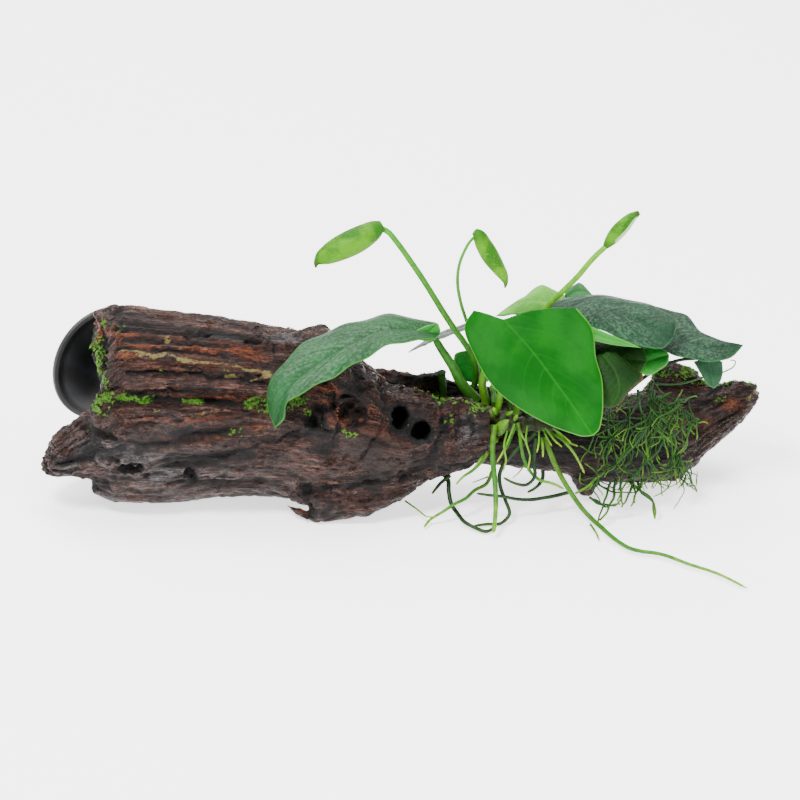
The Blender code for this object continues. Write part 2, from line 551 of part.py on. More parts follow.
# Roots: route, thickest radius, radius at the tip, colour
ROOTS = [
    ([(38.2, 36, 5.4), (37, 29, 2.6), (37.4, 20, -2), (38.2, 10.8, -8), (38.2, 0.6, -16),
      (37.4, -6.6, -23)], 1.2, 0.9, ROOT_GREEN),
    ([(54.4, 33.2, 1.6), (48, 27.6, 0), (43.6, 23.6, -1), (40.6, 19.4, -2), (39.8, 14, -3),
      (41.4, 8, -5), (43.9, 1.2, -8), (42.6, -2.2, -9), (37, -3, -10.2),
      (29.4, -4, -12.7)], 0.65, 0.45, ROOT_DARK),
    ([(15.4, 18.4, 10), (18.6, 15, 7), (20.7, 12.8, 5), (19, 8.2, 2), (21.6, 3.4, -2.4),
      (25, -1.6, -7.2), (29.4, -4.4, -13.6), (34, -6.2, -17.8),
      (38.6, -4.4, -13.8)], 0.7, 0.5, ROOT_DARK),
    ([(37, 18, 7), (34.6, 12.8, 4), (30.6, 10.8, 2), (28, 8, -1), (23.2, 5.6, -5),
      (18.4, 2.4, -8), (12, -1.6, -9.6), (9.6, -4.6, -14)], 0.75, 0.5, ROOT_GREEN),
    ([(20.2, 16.2, 8.6), (16.4, 13.2, 6), (12.8, 8.8, 3)], 0.6, 0.35, ROOT_DARK),
    ([(35, 25.2, -1.6), (30.6, 19.4, -2.6), (25, 15.4, -3), (22.4, 12.6, -3.4)],
     0.8, 0.4, ROOT_GREEN),
    ([(67.6, 9.4, 4), (64, 8.4, 2), (57.6, 7.2, -1), (49, 6.4, -4), (42.4, 7.6, -5),
      (35, 8.4, -6), (30.6, 9, -6)], 0.6, 0.4, ROOT_DARK),
    ([(47.2, 37.2, 2.4), (48, 32.4, 0), (48.8, 26.4, -1), (50.6, 20.4, -2), (55.4, 14.6, -3),
      (60, 13.4, -3), (65.6, 10.8, -3)], 0.8, 0.5, ROOT_GREEN),
    ([(54.4, 31, 0), (53.6, 20.8, -2), (54, 16, -3), (50.4, 12.4, -4), (46.8, 12.8, -5),
      (41.4, 15.4, -6)], 0.6, 0.4, ROOT_DARK),
    ([(58, 31.6, 2), (61.8, 21.2, -1), (67.2, 11.2, -4), (74.6, 1, -9), (80, -4, -14),
      (86.4, -9.6, -24), (93.4, -13.4, -34), (104.4, -15.2, -38.6), (114.4, -18.8, -47),
      (126, -22.6, -56), (138.2, -28.5, -70)], 1.05, 0.5, ROOT_GREEN),
    ([(76.2, -3.4, -13), (78, -6, -16.4), (79.6, -9.6, -25)], 0.5, 0.35, ROOT_YELLOW),
    ([(60, 33.4, 2), (64.8, 30.6, 0), (69.6, 25.2, -1), (73.9, 17, -2)], 0.6, 0.35, ROOT_YELLOW),
    ([(62, 34.6, 3), (66.4, 30, 1.6), (71.2, 28, 0)], 0.55, 0.3, ROOT_YELLOW),
    ([(56.6, 31.4, 1), (57.2, 27, -1.4), (57.2, 23.6, -2.6)], 0.6, 0.35, ROOT_YELLOW),
    ([(57.2, 18.4, 4), (57.1, 15, 2), (55, 11.8, 0), (51, 9.4, -2)], 0.6, 0.35, ROOT_DARK),
    ([(46, 35.6, 2), (43, 28, -2), (38.8, 21.6, -4.6)], 0.6, 0.35, ROOT_GREEN),
]


def grown(points):
    return [seen(*point) for point in points]


def leaf_surface(shape, rows, halves):
    """Vertices and faces of a blade: rows from base to tip, halves strips each side of the rib."""
    rails = {side: smooth_route(grown(shape[side]), rows + 1) for side in ("mid", "far", "near")}
    rib, far, near = rails["mid"], rails["far"], rails["near"]
    back = rib[0] - rib[1]
    back = back / np.linalg.norm(back)
    vertices = []
    for i in range(rows):
        width = np.linalg.norm(far[i] - near[i])
        face = np.cross(far[i] - near[i], rib[i + 1] - rib[i])
        face = face / max(np.linalg.norm(face), 1e-9)
        if face[2] < 0:
            face = -face
        for k in range(-halves, halves + 1):
            share = abs(k) / halves
            edge = far[i] if k > 0 else near[i]
            point = rib[i] + (edge - rib[i]) * share
            point = point + face * 0.05 * width * 4 * share * (1 - share)
            lobe = shape["lobe"] * sin(pi * share) * (1 - i / rows) ** 5
            vertices.append(point + back * lobe)
    across = 2 * halves + 1
    vertices.append(rib[-1])
    faces = []
    for i in range(rows - 1):
        for k in range(across - 1):
            a = i * across + k
            faces.append((a, a + 1, a + 1 + across, a + across))
    tip, last = len(vertices) - 1, (rows - 1) * across
    faces += [(last + k, last + k + 1, tip) for k in range(across - 1)]
    return vertices, faces


def make_leaf(name, shape, parts):
    reach = np.linalg.norm(seen(*shape["mid"][0]) - seen(*shape["mid"][-1]))
    rows = 7 if reach > 40 else 5 if reach > 18 else 4
    vertices, faces = leaf_surface(shape, rows, 3 if reach > 40 else 2)
    leaf = mesh_object(name, vertices, faces, parts)
    skin = leaf.modifiers.new("thickness", "SOLIDIFY")
    skin.thickness = LEAF_THICKNESS * MM
    skin.offset = 0
    paint(leaf, shape["colour"], 0.38)
    return leaf


def make_spathe(name, points, widest, parts):
    """A closed flower sheath: fat in its first half, drawn out to a point."""
    count = 9
    route = smooth_route(grown(points), count)
    share = np.linspace(0, 1, count)
    swell = 0.26 + 1.05 * np.sin(pi * share**0.72) ** 0.85 * (1 - 0.25 * share)
    radii = widest * swell / np.max(swell)
    radii[-1] = 0.35
    return tube(name, route, radii, LEAF_BRIGHT, parts, sides=10)


def make_rhizome(parts):
    route = smooth_route(grown(RHIZOME), 15)
    knots = 1 + 0.07 * np.cos(np.arange(15) * 2.4)
    radii = RHIZOME_RADIUS * knots
    radii[0] = radii[-1] = 2.2
    tube("rhizome", route, radii, STALK_GREEN, parts, sides=10)
    return route, RHIZOME_RADIUS


def make_stalk(name, points, top, foot, parts):
    route = smooth_route(grown(points), max(5, len(points) + 1))
    radii = np.linspace(top, foot, len(route))
    tube(name, route, radii, STALK_GREEN, parts, sides=6)


def make_root(name, points, thick, tip, colour, wood, laid, parts):
    length = np.sum(np.linalg.norm(np.diff(grown(points), axis=0), axis=1))
    count = int(np.clip(round(length / 5.5) + 1, 5, 26))
    route = smooth_route(grown(points), count)
    radii = thick + (tip - thick) * np.linspace(0, 1, count) ** 1.6
    route = eased(route, radii, wood, laid)
    laid.append((route, thick))
    tube(name, route, radii, colour, parts, sides=6)


# Moss and fine roots: closed patches that lie on the wood and stand for what grows there

MOSS = {
    # Points along the middle of each cushion as the eye sees it (right, up), and half its width
    "moss_broken_end": ([(-119.4, 68), (-119.2, 62), (-118.0, 56), (-116.4, 50)], 1.7),
    "moss_groove": ([(-119, 46.6), (-113, 46.8), (-107, 46.4), (-101, 46.2)], 1.4),
    "moss_mound": ([(104.5, 54.6), (107.5, 57.6), (111, 57.4), (115.5, 54.6)], 1.9),
}
MOSS_STEEPEST = 0.8     # how fast a cushion may follow a step in the wood below it


def make_moss(name, line, half, wood, laid, parts):
    """A round cushion along the line where the eye meets the wood, bridging its furrows."""
    line = smooth_route([(right, up, 0.0) for right, up in line], 8)
    starts = np.array([seen(right, up, -150) for right, up, _ in line])
    depths = []
    for start in starts:
        hit, _, _, distance = wood.ray_cast(Vector(start), Vector(-TOWARDS_EYE))
        if hit is None:
            raise ValueError(f"{name} misses the wood at {start[0]:.1f}")
        depths.append(distance)
    depths = np.array(depths)
    apart = np.linalg.norm(starts[:, None] - starts[None, :], axis=2)
    depths = np.min(depths[None, :] + MOSS_STEEPEST * apart, axis=1)
    route = starts - depths[:, None] * TOWARDS_EYE
    radii = half * (0.5 + 0.5 * np.sin(np.linspace(0.15 * pi, 0.85 * pi, len(route))))
    route = eased(route, radii, wood, laid)
    laid.append((route, half))
    tube(name, route, radii, MOSS_GREEN, parts, sides=6)


# Rows of the fine root mat from the top of the branch down to the surface it rests on
MAT_ROWS = [
    [(79, 36.4, 5.4), (86, 41, 8.6), (93, 45.5, 12), (101, 49.5, 17), (109, 49.5, 21)],
    [(79, 29.5, 4.0), (86, 33, 6.5), (94, 36.5, 9.5), (102, 40, 14), (111, 40, 18)],
    [(78, 21.5, 3.0), (86, 23.5, 5), (94, 26, 8.5), (103, 29, 12.5), (112, 29, 16)],
    [(76, 13.0, 0.0), (85, 13.5, 1.5), (94, 15, 5), (104, 17.5, 8.5), (113, 18, 12)],
    [(76, 4.0, -4.5), (84, 4.5, -3.5), (93, 5, -1), (102, 6.5, 1.5), (111, 9.5, 6)],
    [(79, -1.4, -8.6), (85, -1.4, -8.4), (91, -0.8, -7.4), (97, 0.2, -5.2), (102, 1.2, -3.2)],
]
MAT_THICKNESS = 2.6


def make_root_mat(parts):
    vertices = [seen(*point) for row in MAT_ROWS for point in row]
    across = len(MAT_ROWS[0])
    faces = []
    for i in range(len(MAT_ROWS) - 1):
        for k in range(across - 1):
            a = i * across + k
            faces.append((a, a + across, a + across + 1, a + 1))
    mat = mesh_object("fine_root_mat", vertices, faces, parts)
    skin = mat.modifiers.new("thickness", "SOLIDIFY")
    skin.thickness = MAT_THICKNESS * MM
    skin.offset = 1
    paint(mat, ROOT_DARK, 0.8)


def main():
    clear_scene()
    parts = new_collection(COLLECTION)
    cutters = new_collection("cutters")
    wood_nodes = make_wood(parts, cutters)
    wood = surface_of(wood_nodes)
    make_cup(parts)
    laid = [make_rhizome(parts)]
    for name, shape in LEAVES.items():
        make_leaf(name, shape, parts)
    for name, (points, top, foot) in STALKS.items():
        make_stalk(name, points, top, foot, parts)
    for name, (points, widest) in SPATHES.items():
        make_spathe(name, points, widest, parts)
    for number, (points, thick, tip, colour) in enumerate(ROOTS, start=1):
        make_root(f"root_{number:02d}", points, thick, tip, colour, wood, laid, parts)
    for name, (line, half) in MOSS.items():
        make_moss(name, line, half, wood, laid, parts)
    make_root_mat(parts)
    for cutter in cutters.objects:
        cutter.hide_render = True
        cutter.display_type = "WIRE"


main()
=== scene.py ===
# %% [markdown]
# # Anubias on driftwood
#
# A small water plant has grown onto a piece of dark, wet driftwood. A rubber suction cup sits in
# the wood's back. The solids of every piece are already packed as a fixed frame, and this lesson
# dresses them: it carves the wood, draws the veins of the leaves, grows the fine roots and the
# moss, and lights it all as in a photographer's studio.

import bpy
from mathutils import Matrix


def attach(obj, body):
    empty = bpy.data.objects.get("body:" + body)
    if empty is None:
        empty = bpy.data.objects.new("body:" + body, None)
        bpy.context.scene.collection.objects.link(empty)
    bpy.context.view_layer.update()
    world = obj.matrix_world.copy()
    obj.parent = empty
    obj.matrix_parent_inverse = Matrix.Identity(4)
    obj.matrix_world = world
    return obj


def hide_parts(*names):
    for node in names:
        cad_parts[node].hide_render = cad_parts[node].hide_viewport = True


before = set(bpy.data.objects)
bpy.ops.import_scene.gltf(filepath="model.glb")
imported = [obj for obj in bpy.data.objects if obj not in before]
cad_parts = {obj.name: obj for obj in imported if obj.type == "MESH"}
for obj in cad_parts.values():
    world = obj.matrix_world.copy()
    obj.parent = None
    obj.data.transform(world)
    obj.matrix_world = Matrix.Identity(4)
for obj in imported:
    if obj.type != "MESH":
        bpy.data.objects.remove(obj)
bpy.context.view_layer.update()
print("nodes in the frame:", len(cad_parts))

# %% [markdown]
# ## The working frame
#
# All places below are millimetres, as the eye of the photographer sees them: so far to the right,
# so far up in the picture plane, and so far back. The eye looks along +Y and down by 25 degrees.
# `seen` turns such a place into a point, and `place` moves points into the frame, in metres.

# %% Working frame
from math import cos, pi, radians, sin

import bmesh
import bpy
import numpy as np
from mathutils import Matrix, Vector, noise
from mathutils.bvhtree import BVHTree

MM = 0.001
EYE_TILT = radians(25)
ORIGIN_SHIFT = np.array((0.3, -0.6, -0.6))
TOWARDS_EYE = np.array((0.0, -cos(EYE_TILT), sin(EYE_TILT)))
FLOOR = 0.6  # its height in working millimetres
GAP = 0.3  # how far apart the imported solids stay


def seen(right, up, back):
    return np.array((right, back, (up - back * sin(EYE_TILT)) / cos(EYE_TILT)))


def height_seen(points):
    """How far up in the picture plane the eye sees each point."""
    return points[:, 2] * cos(EYE_TILT) + points[:, 1] * sin(EYE_TILT)


def place(points):
    return (np.asarray(points, float) + ORIGIN_SHIFT) * MM


def working(points):
    """The way back from the frame's metres to working millimetres."""
    return np.asarray(points, float) / MM - ORIGIN_SHIFT


# %% [markdown]
# ## A small language for node trees
#
# Materials and geometry trees are both graphs of nodes. Linking sockets by hand hides the sums
# in them, so `Wire` wraps one socket and lets Python's own operators add the Math nodes. `Graph`
# adds any other node, from its type, its settings and the values or wires of its sockets.

# %% Wires and graphs
class Wire:
    def __init__(self, graph, socket):
        self.graph, self.socket = graph, socket

    def math(self, operation, first, second=0.0):
        return self.graph.node("ShaderNodeMath", {"operation": operation}, {0: first, 1: second})

    def __add__(self, other):
        return self.math("ADD", self, other)

    def __sub__(self, other):
        return self.math("SUBTRACT", self, other)

    def __rsub__(self, other):
        return self.math("SUBTRACT", other, self)

    def __mul__(self, other):
        return self.math("MULTIPLY", self, other)

    def __rtruediv__(self, other):
        return self.math("DIVIDE", other, self)

    def __pow__(self, other):
        return self.math("POWER", self, other)

    __radd__ = __add__
    __rmul__ = __mul__

    def sine(self):
        return self.math("SINE", self)

    def size(self):
        return self.math("ABSOLUTE", self)

    def step(self, low, high):
        """0 below low, 1 above high and smooth between. low may be the larger one."""
        if low > high:
            return 1 - self.step(high, low)
        return self.graph.node("ShaderNodeMapRange", {"interpolation_type": "SMOOTHSTEP"},
                               {"Value": self, "From Min": low, "From Max": high})


class Graph:
    def __init__(self, tree):
        self.tree = tree

    def node(self, kind, settings=None, inputs=None, output=0):
        made = self.tree.nodes.new(kind)
        for name, value in (settings or {}).items():
            if name == "stops":
                self.set_stops(made.color_ramp, value)
            else:
                setattr(made, name, value)
        for key, value in (inputs or {}).items():
            socket = self.socket(made.inputs, key)
            if isinstance(value, Wire):
                self.tree.links.new(value.socket, socket)
            else:
                socket.default_value = value
        return Wire(self, self.socket(made.outputs, output))

    @staticmethod
    def socket(sockets, key):
        if isinstance(key, int):
            return sockets[key]
        return next((s for s in sockets if s.identifier == key), None) or sockets[key]

    @staticmethod
    def set_stops(ramp, stops):
        ramp.elements[0].position = stops[0][0]
        ramp.elements[-1].position = stops[-1][0]
        for position, _ in stops[1:-1]:
            ramp.elements.new(position)
        for element, (_, colour) in zip(ramp.elements, stops):
            element.color = (*colour, 1)

    def attribute(self, name, output="Fac"):
        return self.node("ShaderNodeAttribute", {"attribute_name": name}, None, output)

    def here(self):
        """The place on the piece in millimetres."""
        spot = self.node("ShaderNodeTexCoord", None, None, "Object")
        return self.stretched(spot, (1000, 1000, 1000))

    def stretched(self, vector, scale):
        return self.node("ShaderNodeVectorMath", {"operation": "MULTIPLY"}, {0: vector, 1: scale})

    def cloud(self, vector, scale, detail=3.0, roughness=0.55):
        return self.node("ShaderNodeTexNoise", None, {
            "Vector": vector, "Scale": scale, "Detail": detail, "Roughness": roughness})

    def ramp(self, value, stops):
        return self.node("ShaderNodeValToRGB", {"stops": stops}, {"Fac": value})

    def blend(self, first, second, share, mode="MIX"):
        first, second = [c if isinstance(c, Wire) else (*c, 1) for c in (first, second)]
        return self.node("ShaderNodeMix", {"data_type": "RGBA", "blend_type": mode}, {
            "Factor_Float": share, "A_Color": first, "B_Color": second}, "Result_Color")

    def bump(self, height, depth_mm, strength):
        return self.node("ShaderNodeBump", None, {
            "Height": height, "Distance": depth_mm * MM, "Strength": strength})


def finish_of(name, draw, **constants):
    """A Principled material. draw returns the wires for the sockets that change."""
    made = bpy.data.materials.new(name)
    made.use_nodes = True
    graph = Graph(made.node_tree)
    shader = made.node_tree.nodes["Principled BSDF"]
    for socket, value in constants.items():
        shader.inputs[socket.replace("_", " ")].default_value = value
    for socket, wire in draw(graph).items():
        graph.tree.links.new(wire.socket, shader.inputs[socket])
    return made


# %% [markdown]
# ## Curves, noise and meshes
#
# Everything that grew here follows smooth curves through a few measured points. `through` reads
# such a curve at any place, `cloud_at` reads soft random values at many points at once, and
# `mesh_object` makes an object whose place lies in its mesh, with its origin untouched.

# %% Curves, noise and meshes
def through(keys, values, x):
    """A smooth curve through values at keys, read at x."""
    keys, values = np.asarray(keys, float), np.asarray(values, float)
    slopes = np.gradient(values, keys, axis=0)
    i = int(np.clip(np.searchsorted(keys, x) - 1, 0, len(keys) - 2))
    span = keys[i + 1] - keys[i]
    t = (x - keys[i]) / span
    return ((2 * t**3 - 3 * t**2 + 1) * values[i] + (t**3 - 2 * t**2 + t) * span * slopes[i]
            + (3 * t**2 - 2 * t**3) * values[i + 1] + (t**3 - t**2) * span * slopes[i + 1])


def smooth_route(points, count):
    points = np.asarray(points, float)
    reach = np.concatenate(([0], np.cumsum(np.linalg.norm(np.diff(points, axis=0), axis=1))))
    return np.array([through(reach, points, x) for x in np.linspace(0, reach[-1], count)])


def grown(points):
    return [seen(*point) for point in points]


def cloud_at(points, size, shift=0.0):
    """Soft random values near -1 to 1. size is how far one lump reaches, on all axes or each."""
    return np.array([noise.noise(p) for p in (points / size + shift).tolist()]) * 1.6


def eased_step(value, low, high):
    t = np.clip((value - low) / (high - low), 0, 1)
    return t * t * (3 - 2 * t)


def linked(name, data):
    """A new object in the scene, for a mesh, a lamp or a camera."""
    obj = bpy.data.objects.new(name, data)
    bpy.context.scene.collection.objects.link(obj)
    return obj


def mesh_object(name, vertices, faces, edges=()):
    mesh = bpy.data.meshes.new(name)
    mesh.from_pydata([tuple(v) for v in place(vertices)], list(edges), faces)
    mesh.shade_smooth()
    return linked(name, mesh)


def evaluated_mesh(obj):
    """The mesh that an object's modifiers make."""
    depsgraph = bpy.context.evaluated_depsgraph_get()
    return bpy.data.meshes.new_from_object(obj.evaluated_get(depsgraph))


def face_outwards(mesh):
    """Turns the faces of a closed mesh so that they all look outwards."""
    shape = bmesh.new()
    shape.from_mesh(mesh)
    bmesh.ops.recalc_face_normals(shape, faces=shape.faces)
    shape.to_mesh(mesh)
    shape.free()


def mark(obj, name, values):
    """Stores one number for each vertex, or three, under a name that a material can read."""
    values = np.asarray(values, float)
    kind, field = ("FLOAT_VECTOR", "vector") if values.ndim == 2 else ("FLOAT", "value")
    layer = obj.data.attributes.new(name, kind, "POINT")
    layer.data.foreach_set(field, values.ravel())


def join_frame(obj, slot, *nodes):
    """The piece rides on the wood and stands for its nodes, which it hides. Its slot is not used.
    """
    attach(obj, "root")
    if nodes:
        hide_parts(*nodes)


# %% [markdown]
# ## The wood, as one skin
#
# On the real object the wood is one branching piece, weathered into ridges and furrows. The
# frame holds it as three solids with long flat facets. Sculpting each alone would leave two
# seams, so copies of the three are pushed a little into each other and turned into one even
# skin of small squares by a voxel remesh. A few rounds of relaxing melt the facets away without
# shrinking the wood. Below the knot a lip of wood ends in a thin splinter with a gap above it,
# which two balls cut out of the trunk's copy first.

# %% One skin over three solids
WOOD_NODES = ("driftwood_trunk", "driftwood_prong", "driftwood_branch")
FORK_PLANES = (-123.0, 36.2)
AT_FORK = GAP / 2 + 0.02  # a corner this near to a fork plane lies on a cut face
OVERLAP = 0.6
VOXEL = 0.86 * MM
LIP_GAP = [  # right, up, reach across, reach up, turn in the picture
    (-40.4, 3.8, 4.6, 1.7, radians(-24)), (-45.0, 5.6, 3.6, 1.3, radians(-30)),
]
LIP_BACK, LIP_DEPTH = -6, 40  # how far back the balls lie, and how far they reach there
RELAX_STEPS = (0.55, -0.56)
RELAX_ROUNDS = 9


def with_lip_gap(mesh):
    """A copy of the trunk's mesh with the gap above the splinter cut out."""
    trunk, tools = linked("lip_trunk", mesh), []
    for right, up, across, high, turn in LIP_GAP:
        ball = bmesh.new()
        bmesh.ops.create_icosphere(ball, subdivisions=3, radius=1.0)
        shape = (Matrix.Rotation(-EYE_TILT, 4, "X") @ Matrix.Rotation(-turn, 4, "Y")
                 @ Matrix.Diagonal((across * MM, LIP_DEPTH * MM, high * MM, 1)))
        middle = Matrix.Translation(place(seen(right, up, LIP_BACK)))
        bmesh.ops.transform(ball, matrix=middle @ shape, verts=ball.verts)
        tool = linked("lip_tool", bpy.data.meshes.new("lip_tool"))
        ball.to_mesh(tool.data)
        ball.free()
        cut = trunk.modifiers.new("cut", "BOOLEAN")
        cut.operation, cut.solver, cut.object = "DIFFERENCE", "EXACT", tool
        tools.append(tool)
    made = evaluated_mesh(trunk)
    for obj in (trunk, *tools):
        bpy.data.objects.remove(obj, do_unlink=True)
    return made


def wood_skin():
    shells = bmesh.new()
    for name in WOOD_NODES:
        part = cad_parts[name].data.copy()
        if name == "driftwood_trunk":
            part = with_lip_gap(part)
        middle = np.mean([v.co.x for v in part.vertices]) / MM - ORIGIN_SHIFT[0]
        for vertex in part.vertices:
            x = vertex.co.x / MM - ORIGIN_SHIFT[0]
            if min(abs(x - plane) for plane in FORK_PLANES) < AT_FORK:
                vertex.co.x += OVERLAP * MM * (1 if x > middle else -1)
        shells.from_mesh(part)
        bpy.data.meshes.remove(part)
    bmesh.ops.remove_doubles(shells, verts=shells.verts, dist=1e-6)
    mesh = bpy.data.meshes.new("driftwood")
    shells.to_mesh(mesh)
    shells.free()
    obj = linked("driftwood", mesh)
    remesh = obj.modifiers.new("skin", "REMESH")
    remesh.mode = "VOXEL"
    remesh.voxel_size = VOXEL
    skin = evaluated_mesh(obj)
    obj.modifiers.remove(remesh)
    obj.data = skin
    return obj


def relaxed(points, edges):
    """Moves each point towards the mean of its neighbours, then a little back, again and again."""
    a, b = edges.T
    count = len(points)
    neighbours = np.bincount(np.concatenate((a, b)), minlength=count)[:, None]
    for weight in RELAX_STEPS * RELAX_ROUNDS:
        total = np.stack([np.bincount(a, points[b, k], count) + np.bincount(b, points[a, k], count)
                          for k in range(3)], axis=1)
        points = points + weight * (total / neighbours - points)
    return points


def read(mesh_part, field, width, kind=float):
    values = np.empty(len(mesh_part) * width, np.float32 if kind is float else np.int32)
    mesh_part.foreach_get(field, values)
    return values.reshape(-1, width)


driftwood = wood_skin()
skin_edges = read(driftwood.data.edges, "vertices", 2, int)
wood_points = relaxed(working(read(driftwood.data.vertices, "co", 3)), skin_edges)
driftwood.data.vertices.foreach_set("co", place(wood_points).ravel())
driftwood.data.update()
wood_normals = read(driftwood.data.vertex_normals, "vector", 3).astype(float)
print("driftwood skin:", len(wood_points), "points")

# %% [markdown]
# ## What the eye sees of the wood
#
# The photograph fixes the front: its cracks, moss and lichen have known places in the picture.
# To lay them on the skin, each point needs its place in the picture and whether anything hides
# it. A ray from the point towards the eye tells that.

# %% Which points show
def visible_points(points, normals, faces):
    tree = BVHTree.FromPolygons(points.tolist(), faces)
    facing = normals @ TOWARDS_EYE
    ray = Vector(TOWARDS_EYE)
    shows = np.zeros(len(points))
    for i in np.nonzero(facing > 0.05)[0]:
        start = Vector(points[i] + normals[i] * 0.8 + TOWARDS_EYE * 0.5)
        shows[i] = tree.ray_cast(start, ray, 200.0)[0] is None
    return shows * eased_step(facing, 0.05, 0.3)


skin_faces = [tuple(face.vertices) for face in driftwood.data.polygons]
wood_shows = visible_points(wood_points, wood_normals, skin_faces)
wood_right, wood_up = wood_points[:, 0], height_seen(wood_points)
print(f"{np.mean(wood_shows):.0%} of the skin faces the eye")

# %% [markdown]
# ## Grain that follows the limbs
#
# Weathered wood loses its soft rings first, so the hard ones stand up as ridges that run along
# each limb and fan out where it widens. Noise in plain space would cut straight across a bent
# limb. Here each point gets grain coordinates instead: its distance along the wood, and its
# place in the cross-section divided by the limb's own thickness there. Noise that is stretched
# along the first of them makes ridges that swell and fan as the limb does.

# %% Grain coordinates
LIMB_CORE = [  # x, middle y, middle z, thickness from the middle
    (-143, 8, 20, 12), (-124, 15, 32, 27), (-110, 19, 39, 36), (-85, 19, 38, 36),
    (-60, 19, 37.5, 33), (-40, 16, 37, 33), (-20, 10, 34, 30), (0, 10, 29, 22),
    (18, 14, 28, 17), (36, 19, 27, 14), (60, 23, 25, 15), (84, 30, 21, 18), (106, 39, 20, 20),
    (122, 41, 24, 15), (134, 41, 30, 10), (144, 41, 35, 7),
]
CORE_THICKNESS = 34.0


def grain_of(points):
    core = np.array(LIMB_CORE, float)
    middle_y, middle_z, thick = [np.interp(points[:, 0], core[:, 0], core[:, k])
                                 for k in (1, 2, 3)]
    share = CORE_THICKNESS / thick
    return np.stack((points[:, 0], (points[:, 1] - middle_y) * share,
                     (points[:, 2] - middle_z) * share), axis=1)


wood_grain = grain_of(wood_points)

# %% [markdown]
# ## Marks at known places
#
# Folds are broad swells and valleys of the front, cracks are narrow. Both are lines in the picture
# with a width and a height. Hollows, moss, bare rusty patches, grey ones and dark ones are soft
# round spots: the grey ones are worn wood, but on the front of the log a painted sheen, and the
# dark ones are mostly painted shade. All are laid only on what the eye sees, so that nothing is
# printed through the wood onto its back, and noise bends their outlines, so that none of them is
# round.

# %% Folds and cracks
FOLDS = [  # half width, height, points (right, up)
    (3.2, 1.1, [(-114, 40.6), (-95, 41), (-80, 42.8), (-64, 43.4)]),
    (3, 1.3, [(-112, 32.6), (-98, 33), (-84, 35.6), (-70, 38.4), (-57, 39.8)]),
    (2.4, -1.1, [(-115, 30.6), (-106, 27.6), (-96, 28), (-85, 31), (-74, 32), (-64, 35),
        (-54, 37.4)]),
    (3.4, 1.4, [(-104, 22.4), (-90, 25.6), (-76, 28), (-62, 31.6), (-48, 34.6)]),
    (2.2, -1.2, [(-92, 19.6), (-78, 22.6), (-64, 26.6), (-50, 30.6), (-40, 33)]),
    (4, 1.2, [(-80, 16), (-64, 20), (-48, 25), (-36, 29)]), (3.4, 2.6, [(103.4, 59), (107, 61)]),
    (2.4, 1, [(111, 58.6), (117, 57)]),
    (3, -1.6, [(-118, 16), (-106, 17), (-94, 16), (-82, 13.4), (-70, 14)]),
    (3.6, 1, [(-112, 10.6), (-90, 9.6), (-66, 11), (-46, 9)]),
    (2.2, 0.9, [(-113, 66), (-96, 66), (-80, 64.4), (-60, 61)]),
    (1.8, -0.9, [(-114, 62.6), (-96, 61.4), (-76, 59), (-56, 55.6)]),
    (2, 0.8, [(-116, 53.6), (-92, 53.4), (-70, 51.6), (-54, 49.6)]),
    (4.5, 1.4, [(-50, 38), (-42, 33), (-38, 26), (-40, 18)]),
    (3, -1.4, [(-33, 46), (-35, 38), (-30, 30), (-28, 22)]),
    (5, 1.2, [(-22, 30), (-10, 28), (2, 24)]), (3, -1.3, [(-30, 14), (-14, 15), (4, 18)]),
    (2.6, -1.5, [(15, 48), (17.6, 40), (17, 32), (13, 24)]),
    (3.2, 1, [(26, 44), (28, 36), (25, 28)]),
    (1.6, 1.4, [(-16, 59), (-10, 54.8), (-3, 53.6), (2, 50), (8, 49.8), (14, 47)]),
]
